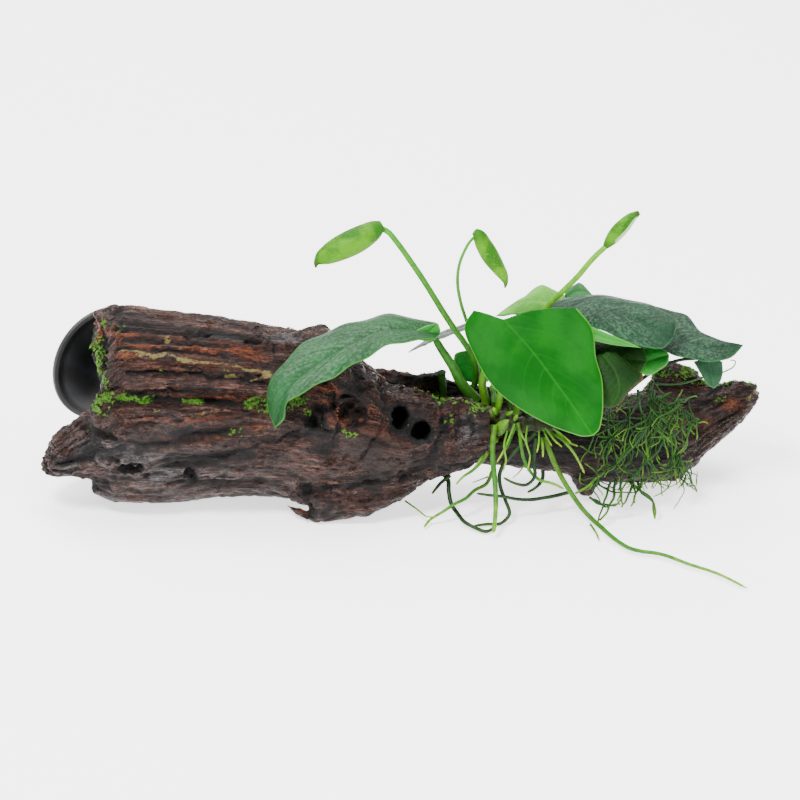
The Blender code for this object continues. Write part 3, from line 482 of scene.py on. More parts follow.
CRACKS = [  # half width, depth, points (right, up)
    (1, 2, [(-108, 57.4), (-96.8, 57.4), (-85, 56.4), (-71, 55.2), (-63, 54.4), (-53, 52.8)]),
    (0.9, 1.6, [(-116, 50.2), (-97, 50.6), (-80, 49.8), (-60, 47.7), (-53, 46.8)]),
    (1.1, 2, [(-104, 46.8), (-90, 46), (-79, 46)]),
    (1.7, 3.2, [(-79, 46), (-73, 44.8), (-63, 44), (-56, 44.8)]),
    (0.8, 1.2, [(-115, 36.7), (-107, 35.9), (-97, 36.7), (-85, 39.2), (-72, 41.8), (-60, 42.2)]),
    (0.6, 0.8, [(-112, 39), (-96, 39.2), (-82, 41), (-70, 42.4)]),
    (0.9, 0.8, [(-115, 31.7), (-106, 28.3), (-97, 28.3), (-85, 31.7), (-74, 32.5), (-60, 36.7)]),
    (0.7, 0.9, [(-76, 26), (-66, 29), (-56, 32.6), (-46, 34.4)]),
    (0.6, 0.8, [(-72, 22.6), (-60, 26.4), (-50, 30), (-41, 33.6)]),
    (0.6, 0.8, [(-66, 18), (-56, 22), (-46, 26)]),
    (1.3, 2.6, [(-119.4, 73), (-118.8, 66), (-118.6, 59)]),
    (0.8, 1.1, [(-112, 66.8), (-90, 66.2), (-70, 63.8), (-52, 60.2)]),
    (0.7, 0.9, [(-110, 71.4), (-90, 69.6), (-68, 67.6)]),
    (0.6, 0.8, [(-114, 75), (-96, 73.6), (-86, 72.4)]),
    (1.6, 2.6, [(-84, 72.2), (-80, 72.4), (-77, 73.6)]),
    (1.3, 2, [(-60, 70.4), (-56, 69.2), (-54, 67.4)]),
    (0.8, 1.2, [(-57.7, 74.4), (-53, 70), (-48.5, 65.2)]),
    (0.7, 1, [(-112, 60.4), (-92, 60), (-76, 58)]),
    (1.5, 2.2, [(-127, 35.6), (-121, 34), (-115, 31.2)]), (1.2, 2, [(-125, 14.8), (-121.6, 9.6)]),
    (0.8, 1.3, [(-138, 21), (-130, 22.4), (-121, 21.4)]),
    (0.6, 0.9, [(-136, 25), (-128, 28), (-122, 30)]),
    (0.6, 0.9, [(-139, 17.6), (-130, 17), (-122, 15)]),
    (0.8, 1.2, [(-34, 56), (-26, 48), (-25, 38), (-27, 28)]),
    (0.9, 1.2, [(-8, 52), (-6, 44), (-9, 34), (-16, 24)]),
    (0.8, 1.2, [(16, 44), (17.6, 36), (14, 28)]), (0.9, 1.2, [(22, 44), (24, 36), (21, 27)]),
    (0.7, 1.1, [(28, 42), (30, 35), (28, 29)]),
    (0.8, 1.2, [(-40, 12), (-24, 11), (-8, 13), (4, 16)]),
    (0.6, 0.9, [(-44, 20), (-30, 18), (-16, 19.6)]),
    (0.7, 0.9, [(98, 20), (112, 25), (124, 33), (137, 43)]),
    (0.7, 0.9, [(104, 28), (116, 36), (130, 46)]), (0.6, 0.9, [(100, 38), (112, 44), (124, 50)]),
    (0.6, 0.8, [(106, 17), (118, 25), (132, 38)]),
    (1.4, 2.4, [(124, 49), (127, 51), (131, 53.4)]),
]


def shaken(size, reach, shift):
    """How far noise carries the outline of a mark from its drawn place."""
    return reach * cloud_at(wood_points, size, shift)


mark_right = wood_right + shaken(7.0, 1.0, 1.5) + shaken(2.4, 0.9, 4.5)
mark_up = wood_up + shaken(7.0, 0.8, 8.5) + shaken(2.4, 0.7, 6.5)


def distance_to_line(line, right, up):
    line = np.array(line, float)
    here = np.stack((right, up), axis=1)
    best = np.full(len(here), 1e9)
    for a, b in zip(line[:-1], line[1:]):
        step = b - a
        along = np.clip((here - a) @ step / (step @ step), 0, 1)
        best = np.minimum(best, np.linalg.norm(a + along[:, None] * step - here, axis=1))
    return best


def nearness(line, half):
    """1 on a line in the picture, 0 from a little over half a width away."""
    best = distance_to_line(line, mark_right, mark_up)
    return (1 - eased_step(best, 0.2 * half, 1.35 * half)) * wood_shows


folds = np.zeros(len(wood_points))
for half, height, line in FOLDS:
    away = distance_to_line(line, wood_right, mark_up) / half
    folds += height * np.exp(-away**2) * wood_shows
cracks = np.zeros(len(wood_points))
for half, depth, line in CRACKS:
    strength = 0.8 + 0.5 * cloud_at(wood_points, 12.0, shift=depth)
    cracks = np.maximum(cracks, depth * np.clip(strength, 0.15, 1.2) * nearness(line, half))
print(f"folds from {folds.min():.1f} to {folds.max():.1f}, cracks to {cracks.max():.1f} mm")

# %% [markdown]
# The broken places are spots. A pit has steep walls and is painted black inside as shade, while the
# others fade out. The holes of the knot are already in the solids. The dark ones are only painted
# black here as shade, and the rusty one is dug wider, into the ragged hollow that the photograph
# shows, and painted half dark as shade.

# %% Pits and spots
PITS = [  # right, up, reach across, reach up, depth
    (-108, 18.4, 4.4, 2.4, 3.6), (-83.4, 15.4, 2.4, 3, 3.2), (-101, 15.6, 2.2, 1, 1.4),
    (-114, 21.6, 2.4, 0.9, 1.2), (-76, 14, 2.4, 1, 1.2), (-90, 20.4, 2, 0.8, 1),
    (-20, 48, 2, 1.4, 1.6), (-61, 56.2, 6, 0.9, 1.4), (2, 15.4, 2.4, 1.8, 1.4),
    (84, 12, 5, 2.4, 1.2), (112, 13.6, 4, 2.2, 1.6), (-36.4, 2.4, 2.2, 2.2, 2.2),
    (-58.4, 70.4, 2.8, 1.6, 1.8), (17.6, 35, 2, 5, 1.2),
]
RUSTY_HOLLOW = [  # right, up, reach across, reach up, depth
    (-27, 42.6, 8, 3.6, 2.6), (-34, 39.6, 3.6, 5.4, 2.8), (-17, 40.6, 6.4, 3.6, 2.4),
    (-24, 47, 7, 2.6, 1.2), (-31, 35.6, 3, 2.6, 1.8),
]
MOSS_SPOTS = [  # right, up, reach across, reach up, strength
    (-121.6, 66, 1.7, 5, 1.1), (-122.4, 59.4, 2, 2.4, 1), (-118.6, 54.4, 1.4, 3.4, 0.8),
    (-116.6, 76.2, 1.2, 1.6, 0.8), (-110.4, 75.6, 1, 0.8, 0.6), (-119, 46.8, 5, 2.4, 1.2),
    (-124, 45.4, 3.6, 1.4, 1), (-110, 47.2, 5, 1.8, 1.2), (-102.6, 46.6, 4.6, 1.5, 1),
    (-119.4, 42, 1.5, 2.6, 0.9), (-83.4, 45.4, 3.6, 1.6, 1), (-58, 45.4, 3.4, 2, 1.1),
    (-51, 43.4, 3.4, 2, 0.9), (-41, 46, 2.6, 2.6, 0.8), (-65.4, 33.6, 2, 0.8, 0.7),
    (-37, 42, 1.4, 1.2, 0.7), (-21, 32.4, 2.6, 1, 0.9), (-124, 34.4, 1.6, 0.8, 0.5),
    (-96, 57.6, 2, 0.6, 0.5), (-70, 57, 1.2, 0.8, 0.5), (20, 38.6, 1.6, 2.4, 0.55),
    (17, 47.8, 4.6, 1.2, 0.95), (26, 45, 3, 1, 0.6), (9, 56.6, 2.6, 0.8, 0.8),
    (-2, 58.6, 3, 0.6, 0.5), (104, 56.8, 5, 1.8, 0.8), (114, 56.6, 6, 1.4, 0.8),
    (122, 53.6, 4, 1.2, 0.7), (99, 52, 4, 4, 0.6), (128, 46.6, 3, 1, 0.35),
    (30, 42.6, 3, 2.4, 0.7), (-32, 35, 1.4, 0.8, 0.4), (-26, 62, 3, 1, 0.4),
]
RUST_SPOTS = [
    (-121.6, 74, 2.2, 9, 1.5), (-110, 73, 12, 2, 0.9), (-100, 69.6, 16, 2.2, 1.1),
    (-78, 67, 14, 2.2, 1), (-64, 66, 12, 2, 0.8), (-112, 64.6, 10, 1.2, 0.6),
    (-58, 63, 10, 1.6, 0.7), (-24.6, 48, 2.4, 1.8, 1.6), (-30, 50, 9, 4, 0.7),
    (-24, 42, 15, 6, 0.9), (-90, 71, 30, 6, 0.62), (-80, 60, 34, 8, 0.45), (-8, 34, 12, 8, 0.4),
    (-86, 37, 26, 3, 0.45), (-20, 26, 24, 8, 0.2), (-66, 47.6, 26, 1.2, 0.8),
    (-96, 50.6, 20, 1.2, 0.7), (-84, 38.2, 24, 1.4, 0.7), (-84, 31, 22, 1.6, 0.6),
    (-62, 36, 12, 1.6, 0.6), (0, 58.4, 16, 1.4, 0.8), (26, 54.6, 10, 1.2, 0.8),
    (118, 38, 16, 5, 0.5), (108, 46, 8, 3, 0.4), (134, 44, 6, 4, 0.7), (-56, 69.6, 3, 1.6, 0.7),
]
# Grey worn wood, but the broad spots on the front of the log paint the sheen of its water film.
GREY_AND_SHEEN_SPOTS = [
    (-122, 26, 16, 7, 0.9), (-108, 24, 20, 5, 0.9), (-96, 16, 22, 6, 0.9), (-74, 17, 14, 6, 0.7),
    (28, 35, 7, 8, 1), (24, 30, 5, 5, 0.7), (-84, 34.6, 20, 2, 0.5), (-44, 12, 22, 5, 0.6),
    (106, 59, 6, 4, 0.9), (118, 56, 7, 3, 0.9), (-134, 20, 8, 6, 0.8), (-98, 53, 24, 2, 0.4),
    (-44, 71, 16, 3, 0.8), (-96, 41, 24, 2.6, 0.5), (-38, 36, 4, 6, 0.5), (8, 20, 10, 5, 0.4),
    (-62, 41, 10, 2, 0.5), (132, 56, 6, 3, 0.6), (104, 50, 6, 3, 0.6), (-88, 37, 28, 6, 0.6),
]
# Mostly painted shade: under the roots and the creeping stem, in the trough behind the knot's front
# wall and round its holes and pits. A few only darken the tone of the knot and the horn.
SHADE_AND_DARK_SPOTS = [
    (64, 30, 32, 16, 1), (50, 20, 20, 10, 0.9), (94, 36, 20, 16, 0.75), (104, 14, 16, 5, 0.7),
    (6, 55, 16, 3.4, 1), (24, 50, 12, 4, 1), (-24, 42, 12, 5, 0.95), (-33, 38, 5, 5, 0.9),
    (4, 37, 12, 10, 1), (-26, 41, 14, 6, 0.85), (-12, 28, 28, 14, 0.72), (-2, 20, 22, 8, 0.66),
    (118, 40, 18, 10, 0.68), (96, 28, 26, 18, 1), (-44, 24, 14, 14, 0.6), (18, 44, 8, 4, 0.7),
    (-120, 62, 2, 8, 0.7), (-40, 50, 8, 6, 0.6), (-34, 60, 16, 5, 0.55),
    (-66, 44.6, 14, 1.2, 0.8), (120, 47, 10, 3, 0.6), (-10, 52, 10, 3, 0.6), (-56, 33, 6, 3, 0.3),
    (-36, 3, 3, 2.4, 1),
]
LICHEN_SPOTS = [
    (-86.4, 62.2, 4.6, 1.6, 1.3), (-81, 61, 2.6, 1.2, 1.2), (-92.8, 70.6, 2.2, 1.4, 1.4),
    (-60, 58.4, 7, 1.2, 1.2), (-53.4, 56.4, 3.4, 2.8, 1.3), (-67, 55.2, 4.4, 1.2, 1.3),
    (-58, 54.6, 3, 1, 1.2), (-105, 65.4, 9, 1.3, 1.1), (-96, 64.4, 6, 1.4, 1.2),
    (-86, 57, 5, 0.8, 1), (-97.6, 40.8, 4, 0.7, 1), (-73, 43, 5, 0.6, 0.9),
    (139, 47, 1.6, 2.4, 1.2), (142, 50, 1, 2, 1.1), (21, 37, 1.4, 3, 0.6),
]
LICHEN_LINES = [
    (1.1, [(-113, 65.8), (-100, 65.2), (-92, 63.8), (-84, 61.8), (-74, 61), (-62, 58.6)]),
    (0.5, [(-95, 57), (-86, 57)]), (0.5, [(-87, 40.4), (-78, 41), (-70, 41.8)]),
    (0.5, [(108, 20), (122, 29), (134, 40)]), (0.4, [(112, 19), (126, 30)]),
]


def spots(rows, edge=None):
    """The strongest of the spots at each point of the wood, soft or with an edge."""
    total = np.zeros(len(wood_points))
    for right, up, across, high, strength in rows:
        away = ((mark_right - right) / across) ** 2 + ((mark_up - up) / high) ** 2
        shape = np.exp(-away) if edge is None else 1 - eased_step(away, 1 - edge, 1 + edge)
        total = np.maximum(total, strength * shape)
    return total * wood_shows


def inside(centre, radii):
    """1 within a ball that leans with the picture plane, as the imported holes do."""
    away = wood_points - centre
    lean = np.array(((1, 0, 0), (0, cos(EYE_TILT), -sin(EYE_TILT)),
                     (0, sin(EYE_TILT), cos(EYE_TILT))))
    return 1 - eased_step(np.linalg.norm(away @ lean.T / radii, axis=1), 0.98, 1.12)


KNOT_HOLES = [  # centre and radii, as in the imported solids
    (seen(-0.2, 39.4, 1), (4.5, 9.5, 5.8)), (seen(8.0, 33.6, -1), (4.8, 9.0, 5.0)),
]
HOLE_MOUTHS = [  # right, up, reach across, reach up, strength
    (-0.6, 39.4, 5, 6.2, 1), (8, 33.8, 5.4, 5.4, 1), (3.8, 37.2, 3.4, 3, 1),
]
# Painted shade: the mouths and insides of the knot's holes, the deep pits and half of the rusty
# hollow are painted black.
black = spots(HOLE_MOUTHS, edge=0.3)
for centre, radii in KNOT_HOLES:
    black = np.maximum(black, inside(centre, radii))
ragged = np.clip(0.85 + 1.1 * cloud_at(wood_points, 2.8, 3.3), 0, 1.3)
pits = spots(PITS, edge=0.55) * ragged
hollow = spots(RUSTY_HOLLOW, edge=0.5) * ragged
black = np.maximum(black, np.clip(pits / 3.2, 0, 1) * 0.8)
black = np.maximum(black, np.clip(hollow / 3.4, 0, 1) * 0.5)
print(f"pits reach {np.max(pits):.1f} mm, {np.mean(black > 0.5):.1%} of the skin is black")

# %% [markdown]
# ## Carving the skin
#
# Three sizes of ridged noise make the grain of the log. The knot in the middle grew in swirls,
# so lumps take over there. The left end broke off: its rim follows the outline in the picture,
# with splinters. The thin right limb gets less of everything, because roots and the creeping
# stem lie close on it. Moving each point along its own normal keeps the skin whole.

# %% Carve
def ridged(points, size, shift=0.0):
    return 1 - 2 * np.abs(cloud_at(points, np.array(size, float), shift))


x = wood_points[:, 0]
on_log = 1 - eased_step(x, -58, -34)
on_limb = eased_step(x, 22, 48)
on_horn = eased_step(x, 98, 122)
on_knot = (1 - on_log) * (1 - on_limb)
swirl = wood_grain + 5 * np.stack([cloud_at(wood_points, 17.0, k) for k in (3.1, 7.7, 5.2)], 1)
# Grey worn patches; on the log's front they also stand for a painted sheen.
worn = spots(GREY_AND_SHEEN_SPOTS)
upper_log = on_log * eased_step(wood_up, 40, 48)

relief = on_log * (0.8 * ridged(wood_grain, (80, 8.5, 8.5))
                   + 0.65 * ridged(wood_grain, (60, 4.2, 4.2), 4.0) - 0.5)
relief += upper_log * 0.45 * ridged(wood_grain, (60, 5.0, 5.0), 7.0)
relief += on_knot * (1.2 * cloud_at(wood_points, 12.0) + 0.5 * ridged(swirl, (13, 4.2, 4.2))
                     + 0.45 * cloud_at(wood_points, 4.6))
relief += on_limb * (0.35 * ridged(wood_grain, (40, 7, 7)) + 0.3 * cloud_at(wood_points, 5.0) - 0.3)
relief += on_horn * 0.45 * ridged(wood_grain, (60, 7, 7), 2.0)
relief += 0.26 * ridged(wood_grain, (14, 1.9, 1.9)) + 0.2 * cloud_at(wood_points, 2.4, 9.0)
relief += worn * (1.1 * cloud_at(wood_points, np.array((5.6, 2.9, 2.9))) - 0.2)
relief += folds - cracks - pits - hollow

# %% [markdown]
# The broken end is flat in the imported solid. The table gives how far to the right its rim lies at
# each height. Its top corner is drawn out to the left, and the horn's rough end to the right.

# %% The broken ends
BREAK_RIM = [(44, -123.4), (47.4, -121), (50.6, -118.4), (56.6, -119.4), (62, -121.6),
             (68.4, -123), (73.8, -121.8), (79.2, -122.4), (84, -121)]
FLAT_END = -123.0
TOP_CORNER = (-116.5, 80.5)
rim_x = np.interp(wood_up, [u for u, _ in BREAK_RIM], [r for _, r in BREAK_RIM])
on_end = wood_points * (0, 1, 1)
splinters = 1.1 * cloud_at(on_end, 3.6, 1.3) + 0.8 * cloud_at(on_end, 1.7)
broken = (1 - eased_step(x, -123.6, -116)) * eased_step(wood_up, 44.5, 47) * (x > -124.5)
shift = np.zeros_like(wood_points)
shift[:, 0] += (rim_x - FLAT_END + np.maximum(splinters, -0.4)) * broken
horn_end = eased_step(x, 134, 141)
shift[:, 0] += (0.9 * cloud_at(on_end, 2.6) + 0.7) * horn_end

to_corner = np.hypot(wood_right - TOP_CORNER[0], (wood_up - TOP_CORNER[1]) * 1.3)
shift[:, 0] -= 4.4 * np.exp(-(to_corner / 5.2) ** 2) * wood_shows

carved = wood_points + wood_normals * relief[:, None] + shift
carved[:, 2] = np.maximum(carved[:, 2], FLOOR)
driftwood.data.vertices.foreach_set("co", place(carved).ravel())
driftwood.data.update()
print(f"relief from {relief.min():.1f} to {relief.max():.1f} mm")

# %% [markdown]
# ## What the wood's finish needs to know
#
# The material has to know where the painted shade of furrows and holes, the rust, the grey wear
# with its painted sheen, the lichen and the moss are. Each becomes one number on every point of the
# skin, stored under its own name.
# The back and the underside aren't in the photograph. They get some moss and rust at places that
# noise picks, and a grey tone where they look down.

# %% Marks for the finish
hidden = 1 - wood_shows
upward = eased_step(wood_normals[:, 2], 0.1, 0.8)
stray_moss = hidden * upward * eased_step(cloud_at(wood_points, 16.0, 2.2), 0.35, 0.75) * 0.5
moss_cover = np.clip(spots(MOSS_SPOTS) + stray_moss, 0, 1)
stray_rust = hidden * eased_step(cloud_at(wood_grain, np.array((40.0, 9, 9)), 6.0), 0.1, 0.8)
rust = np.clip(spots(RUST_SPOTS) + 0.6 * stray_rust, 0, 1)
grey = np.clip(worn + 0.5 * hidden * eased_step(-wood_normals[:, 2], 0.2, 0.9), 0, 1)
lichen = np.clip(spots(LICHEN_SPOTS), 0, 1)
for half, line in LICHEN_LINES:
    lichen = np.maximum(lichen, 0.9 * nearness(line, half))
fine_relief = relief - folds * 0.6
end_face = eased_step(-wood_normals[:, 0], 0.55, 0.9) * (x > -126) * (x < -112)
# Painted shade: darker where the relief is low, at the shade spots and on the broken end face.
furrow = np.maximum(0.42 - 0.4 * fine_relief, 0.84 * spots(SHADE_AND_DARK_SPOTS))
furrow = np.clip(np.maximum(furrow, 0.9 * end_face), 0, 1)

mark(driftwood, "grain", wood_grain)
for title, values in (("moss", moss_cover), ("rust", rust), ("grey", grey), ("black", black),
                      ("lichen", lichen), ("furrow", furrow)):
    mark(driftwood, title, values)
    print(f"{title}: {np.mean(values > 0.5):.1%} of the skin")

# %% [markdown]
# ## The finish of wet driftwood
#
# The furrows, pits and holes are painted nearly black as shade, and the wood is red-brown on its
# ridges. Three noises in grain coordinates draw the fibres, and the marks mix in rust, grey wear
# with a painted sheen on the log's front, lichen and moss. The water film keeps the roughness low
# on the ridges, and the bump of the fibres breaks the shine into glints.
# Furrows, pits, moss and lichen are rougher, so they stay dull.

# %% Wood finish
def paint_wood(graph):
    grain = graph.attribute("grain", "Vector")
    fibre = graph.cloud(graph.stretched(grain, (0.1, 1.0, 1.0)), 1.1, 6.0, 0.68)
    thread = graph.cloud(graph.stretched(grain, (0.22, 1.0, 1.0)), 2.6, 3.0, 0.6)
    band = graph.cloud(graph.stretched(grain, (0.035, 0.3, 0.3)), 1.0, 4.0, 0.6)
    grit = graph.cloud(graph.here(), 0.75, 5.0, 0.7)
    patch = graph.cloud(graph.here(), 0.09, 3.0)
    furrow, rust, grey = [graph.attribute(name) for name in ("furrow", "rust", "grey")]
    lichen, moss, black = [graph.attribute(name) for name in ("lichen", "moss", "black")]
    tone = fibre * 0.5 + band * 0.3 + grit * 0.25
    wet = graph.ramp(tone, [(0.4, (0.0014, 0.0005, 0.0004)), (0.48, (0.009, 0.003, 0.002)),
                            (0.55, (0.033, 0.012, 0.008)), (0.66, (0.145, 0.074, 0.056))])
    rusty = graph.ramp(tone, [(0.38, (0.006, 0.001, 0.0004)), (0.48, (0.048, 0.0085, 0.0028)),
                              (0.62, (0.22, 0.056, 0.015))])
    ashen = graph.ramp(tone, [(0.4, (0.002, 0.0015, 0.0015)), (0.5, (0.023, 0.0175, 0.0175)),
                              (0.64, (0.15, 0.13, 0.132))])
    colour = graph.blend(wet, rusty, (rust * (0.45 + band * 1.0)).step(0.2, 0.75))
    colour = graph.blend(colour, ashen, (grey * (patch * 0.9 + grit * 0.8)).step(0.3, 0.8))
    # Dark grain from the fibres, and painted shade from the shade mark.
    dark_grain_and_shade = (furrow + (fibre - 0.5) * 0.9 + (grit - 0.5) * 0.5).step(0.48, 0.72)
    colour = graph.blend(colour, (0.0016, 0.0009, 0.0008), dark_grain_and_shade * 0.9)
    scaly = (lichen * (grit * 1.5 + thread * 0.7)).step(0.8, 1.04)
    colour = graph.blend(colour, (0.19, 0.155, 0.042), scaly * 0.8)
    green = (moss * (0.2 + grit * 1.4)).step(0.45, 0.9)
    colour = graph.blend(colour, (0.014, 0.03, 0.003), green * 0.8)
    # Painted shade: holes and pits nearly black.
    pit_shade = (black + (grit - 0.5) * 0.9).step(0.3, 0.7)
    colour = graph.blend(colour, (0.0005, 0.0004, 0.0004), pit_shade)
    dull = furrow.step(0.35, 0.7) * 0.5 + pit_shade * 0.5 + green * 0.4 + scaly * 0.3
    rough = 0.16 + fibre * 0.12 + dull
    wrinkle = graph.cloud(graph.stretched(graph.here(), (0.5, 1.0, 1.0)), 0.42, 4.0, 0.6)
    depth = fibre * 0.5 + thread * 0.4 + grit * 0.5 + wrinkle * 1.5
    return {"Base Color": colour, "Roughness": rough, "Normal": graph.bump(depth, 2.6, 1.0)}


wet_wood = finish_of("wet_driftwood", paint_wood, Specular_IOR_Level=0.32)
driftwood.data.materials.clear()
driftwood.data.materials.append(wet_wood)
join_frame(driftwood, "wood", *WOOD_NODES)

# %% [markdown]
# ## The leaves
#
# Each leaf is a waxy blade with a midrib, side veins that arch towards the tip, and a slightly
# waved rim. Its shape is fixed by three curves: the midrib, and the two edges, which end where
# the midrib does unless a tip is named. Subdividing the CAD blade would keep its few flat strips,
# so the blade is lofted anew through the same curves with many narrow rows. An upper and a lower
# face are joined round the rim, which closes it.

# %% Leaf curves
LEAVES = {  # places (right, up, back), bulge at the stalk, waves of the rim
    "leaf_left": dict(
        mid=[(12, 73.4, 14), (-6, 74.4, 8), (-20, 68.4, -2), (-34, 60, -9), (-44, 51, -16),
             (-50, 35.2, -20)],
        far=[(13, 77.5, 24), (-4, 80.6, 22), (-20, 77, 14), (-35, 71, 7), (-46, 62, -3),
             (-53.4, 47, -13)],
        near=[(13.5, 71, 5), (-4, 68.2, -4), (-21, 58.8, -14), (-36, 50.6, -22), (-44.5, 46, -26),
              (-46, 39.5, -24)],
        lobe=(3, 3), waves=(0.7, 5), finish="sheen"),
    "leaf_front": dict(
        mid=[(41.5, 78.4, -1), (46.4, 73, -1.4), (54, 64.4, -4.4), (62, 53.8, -9),
             (69.4, 43.6, -14), (77, 32.2, -20)],
        far=[(70.8, 83, 5.6), (76.8, 75, 4.4), (78.4, 63.2, 0), (80.8, 54.4, -5),
             (81.2, 46, -9.6), (80.6, 38.6, -15.4), (79.4, 34.2, -18.4)],
        near=[(29.4, 82.2, 3.6), (26, 77, 3), (29.6, 64.4, 0.4), (38, 50.8, -4.4),
              (48, 42.8, -8.2), (58, 37.2, -12), (68, 33.2, -16.4), (73, 31.8, -18.6)],
        lobe=(1.8, 3.2), waves=(0.6, 3), finish="bright"),
    "leaf_dark_back": dict(
        mid=[(60, 83, 22), (76, 83.5, 17), (92, 79.5, 12), (109.4, 71.6, 4)],
        far=[(61, 86, 32), (77, 88.4, 31), (94, 86.2, 26), (105.4, 82, 17), (110.6, 77.4, 9.6)],
        near=[(63, 79.5, 13), (76, 76, 7), (88, 71, 2), (98, 67.4, -1), (105.6, 67.4, 0.6)],
        lobe=(1.4, 1.4), waves=(0.3, 3), finish="dark"),
    "leaf_dark_right": dict(
        mid=[(99, 75, 24), (110, 71.5, 17), (122, 67.2, 9), (137.3, 68.4, 4)],
        far=[(102, 84, 36), (114, 80.6, 30), (122, 72.8, 17), (131, 69.8, 9)],
        near=[(101, 68, 9), (110, 64.4, 5), (122, 62, 2), (131.4, 62.8, 2)],
        lobe=(1.2, 1.2), waves=(0.45, 3), finish="dark"),
    "leaf_pale_back": dict(
        mid=[(64, 84, 41), (55, 86.4, 34), (45, 84.2, 26), (38.3, 80, 20)],
        far=[(66, 88.4, 47), (57, 92.4, 44), (49, 87.4, 35)],
        near=[(62, 80, 34), (53, 80.4, 27), (45, 80.4, 21.6)],
        lobe=(1, 1), waves=(0.4, 3), finish="pale"),
    "leaf_top_small": dict(
        mid=[(66.6, 87, 42), (71.4, 89.8, 40), (77.4, 88.4, 37)],
        far=[(67.6, 91, 46), (71.6, 93.4, 44)],
        near=[(67.6, 83, 37.6), (72, 85, 35.8)],
        lobe=(0.6, 0.6), waves=(0.2, 2), finish="top"),
    "leaf_edge_on": dict(
        mid=[(27.5, 75.6, 25), (15, 71, 28), (3.2, 65.6, 32)],
        far=[(26, 76.8, 31), (14, 72, 37)],
        near=[(26, 74.6, 19.6), (14, 70.2, 19.4)],
        lobe=(0.6, 0.6), waves=(0.3, 3), finish="ashen"),
    "leaf_trough": dict(
        mid=[(35.4, 54, 26), (30, 60, 27), (25, 66, 26)],
        far=[(37, 58, 29), (35, 63, 30.4), (30.4, 66.6, 29)],
        near=[(31.4, 52.6, 25), (24, 55.4, 24), (21.6, 61, 24.4), (22.4, 65, 25)],
        lobe=(0.5, 0.5), waves=(0.3, 2), finish="lit"),
    "leaf_shaded": dict(
        mid=[(75, 65, 15), (86, 63.6, 12), (99, 62, 10)],
        far=[(78, 71, 22), (88, 71.6, 20), (96.6, 68.6, 13)],
        near=[(76, 58.6, 12.4), (87, 55.4, 9.6), (95, 56.4, 9)],
        lobe=(0.6, 0.6), waves=(0.3, 3), finish="shade"),
    "leaf_damaged": dict(
        mid=[(81, 64.6, 4.6), (86, 58, 1), (87.6, 50, -3), (84.4, 44, -5)],
        far=[(86, 65.6, 5.4), (94, 59.8, 3.8), (99, 55, 2.4), (92.4, 49.8, -0.6),
             (87.6, 44.6, -4)],
        near=[(77, 63, 2.8), (76.2, 55, -0.4), (78, 47, -3), (81, 43.6, -4.4)],
        tip=(84.4, 43, -5), lobe=(0.6, 0.6), waves=(0.3, 3), finish="shade", torn=0.13),
    "leaf_small_right": dict(
        mid=[(94.6, 60.6, 12), (100.5, 62.6, 13), (107.8, 64.6, 14)],
        far=[(93.4, 67, 17), (99, 68.4, 17.6), (105.4, 67, 15.6)],
        near=[(95.6, 57.4, 9), (99, 56.2, 9.6), (104, 58.4, 11), (107.4, 61.4, 12.4)],
        lobe=(0.4, 0.4), waves=(0.2, 2), finish="lit"),
    "leaf_drooping": dict(
        mid=[(123.5, 62, 11), (124.6, 57, 9), (125.6, 50.9, 6)],
        far=[(129, 61.8, 11), (129.2, 57.4, 9), (127.8, 53, 6.8)],
        near=[(117.4, 61.8, 11), (120.4, 56.8, 8.6), (123, 52.6, 6.6)],
        lobe=(0.5, 0.5), waves=(0.3, 2), finish="droop"),
}
LEAF_SLOTS = {"bright": "leaf_bright", "pale": "leaf_bright", "lit": "leaf_bright",
              "dark": "leaf_dark", "shade": "leaf_dark", "ashen": "leaf_dark"}
HALF_THICK = 0.3
QUILT = -0.1  # the blade swells up between its side veins
LAST_ROW = 0.8  # how far the last row lies from the one before it to the tip
VEINS_EACH_SIDE = 8
VEIN_ARCH = 0.38  # how far forward a side vein ends, as a share of the length


# %% [markdown]
# A row of the blade runs from the near edge over the midrib to the far edge. The midrib lies in
# a shallow groove above and stands out below. Each point also stores where it is across and
# along the blade, because the finish draws the veins from that.

# %% Loft a blade
def vein_phase(across, along):
    """Grows by 1 from one side vein to the next. The veins arch forward towards the rim."""
    return VEINS_EACH_SIDE * (along - VEIN_ARCH * np.abs(across) ** 1.25)


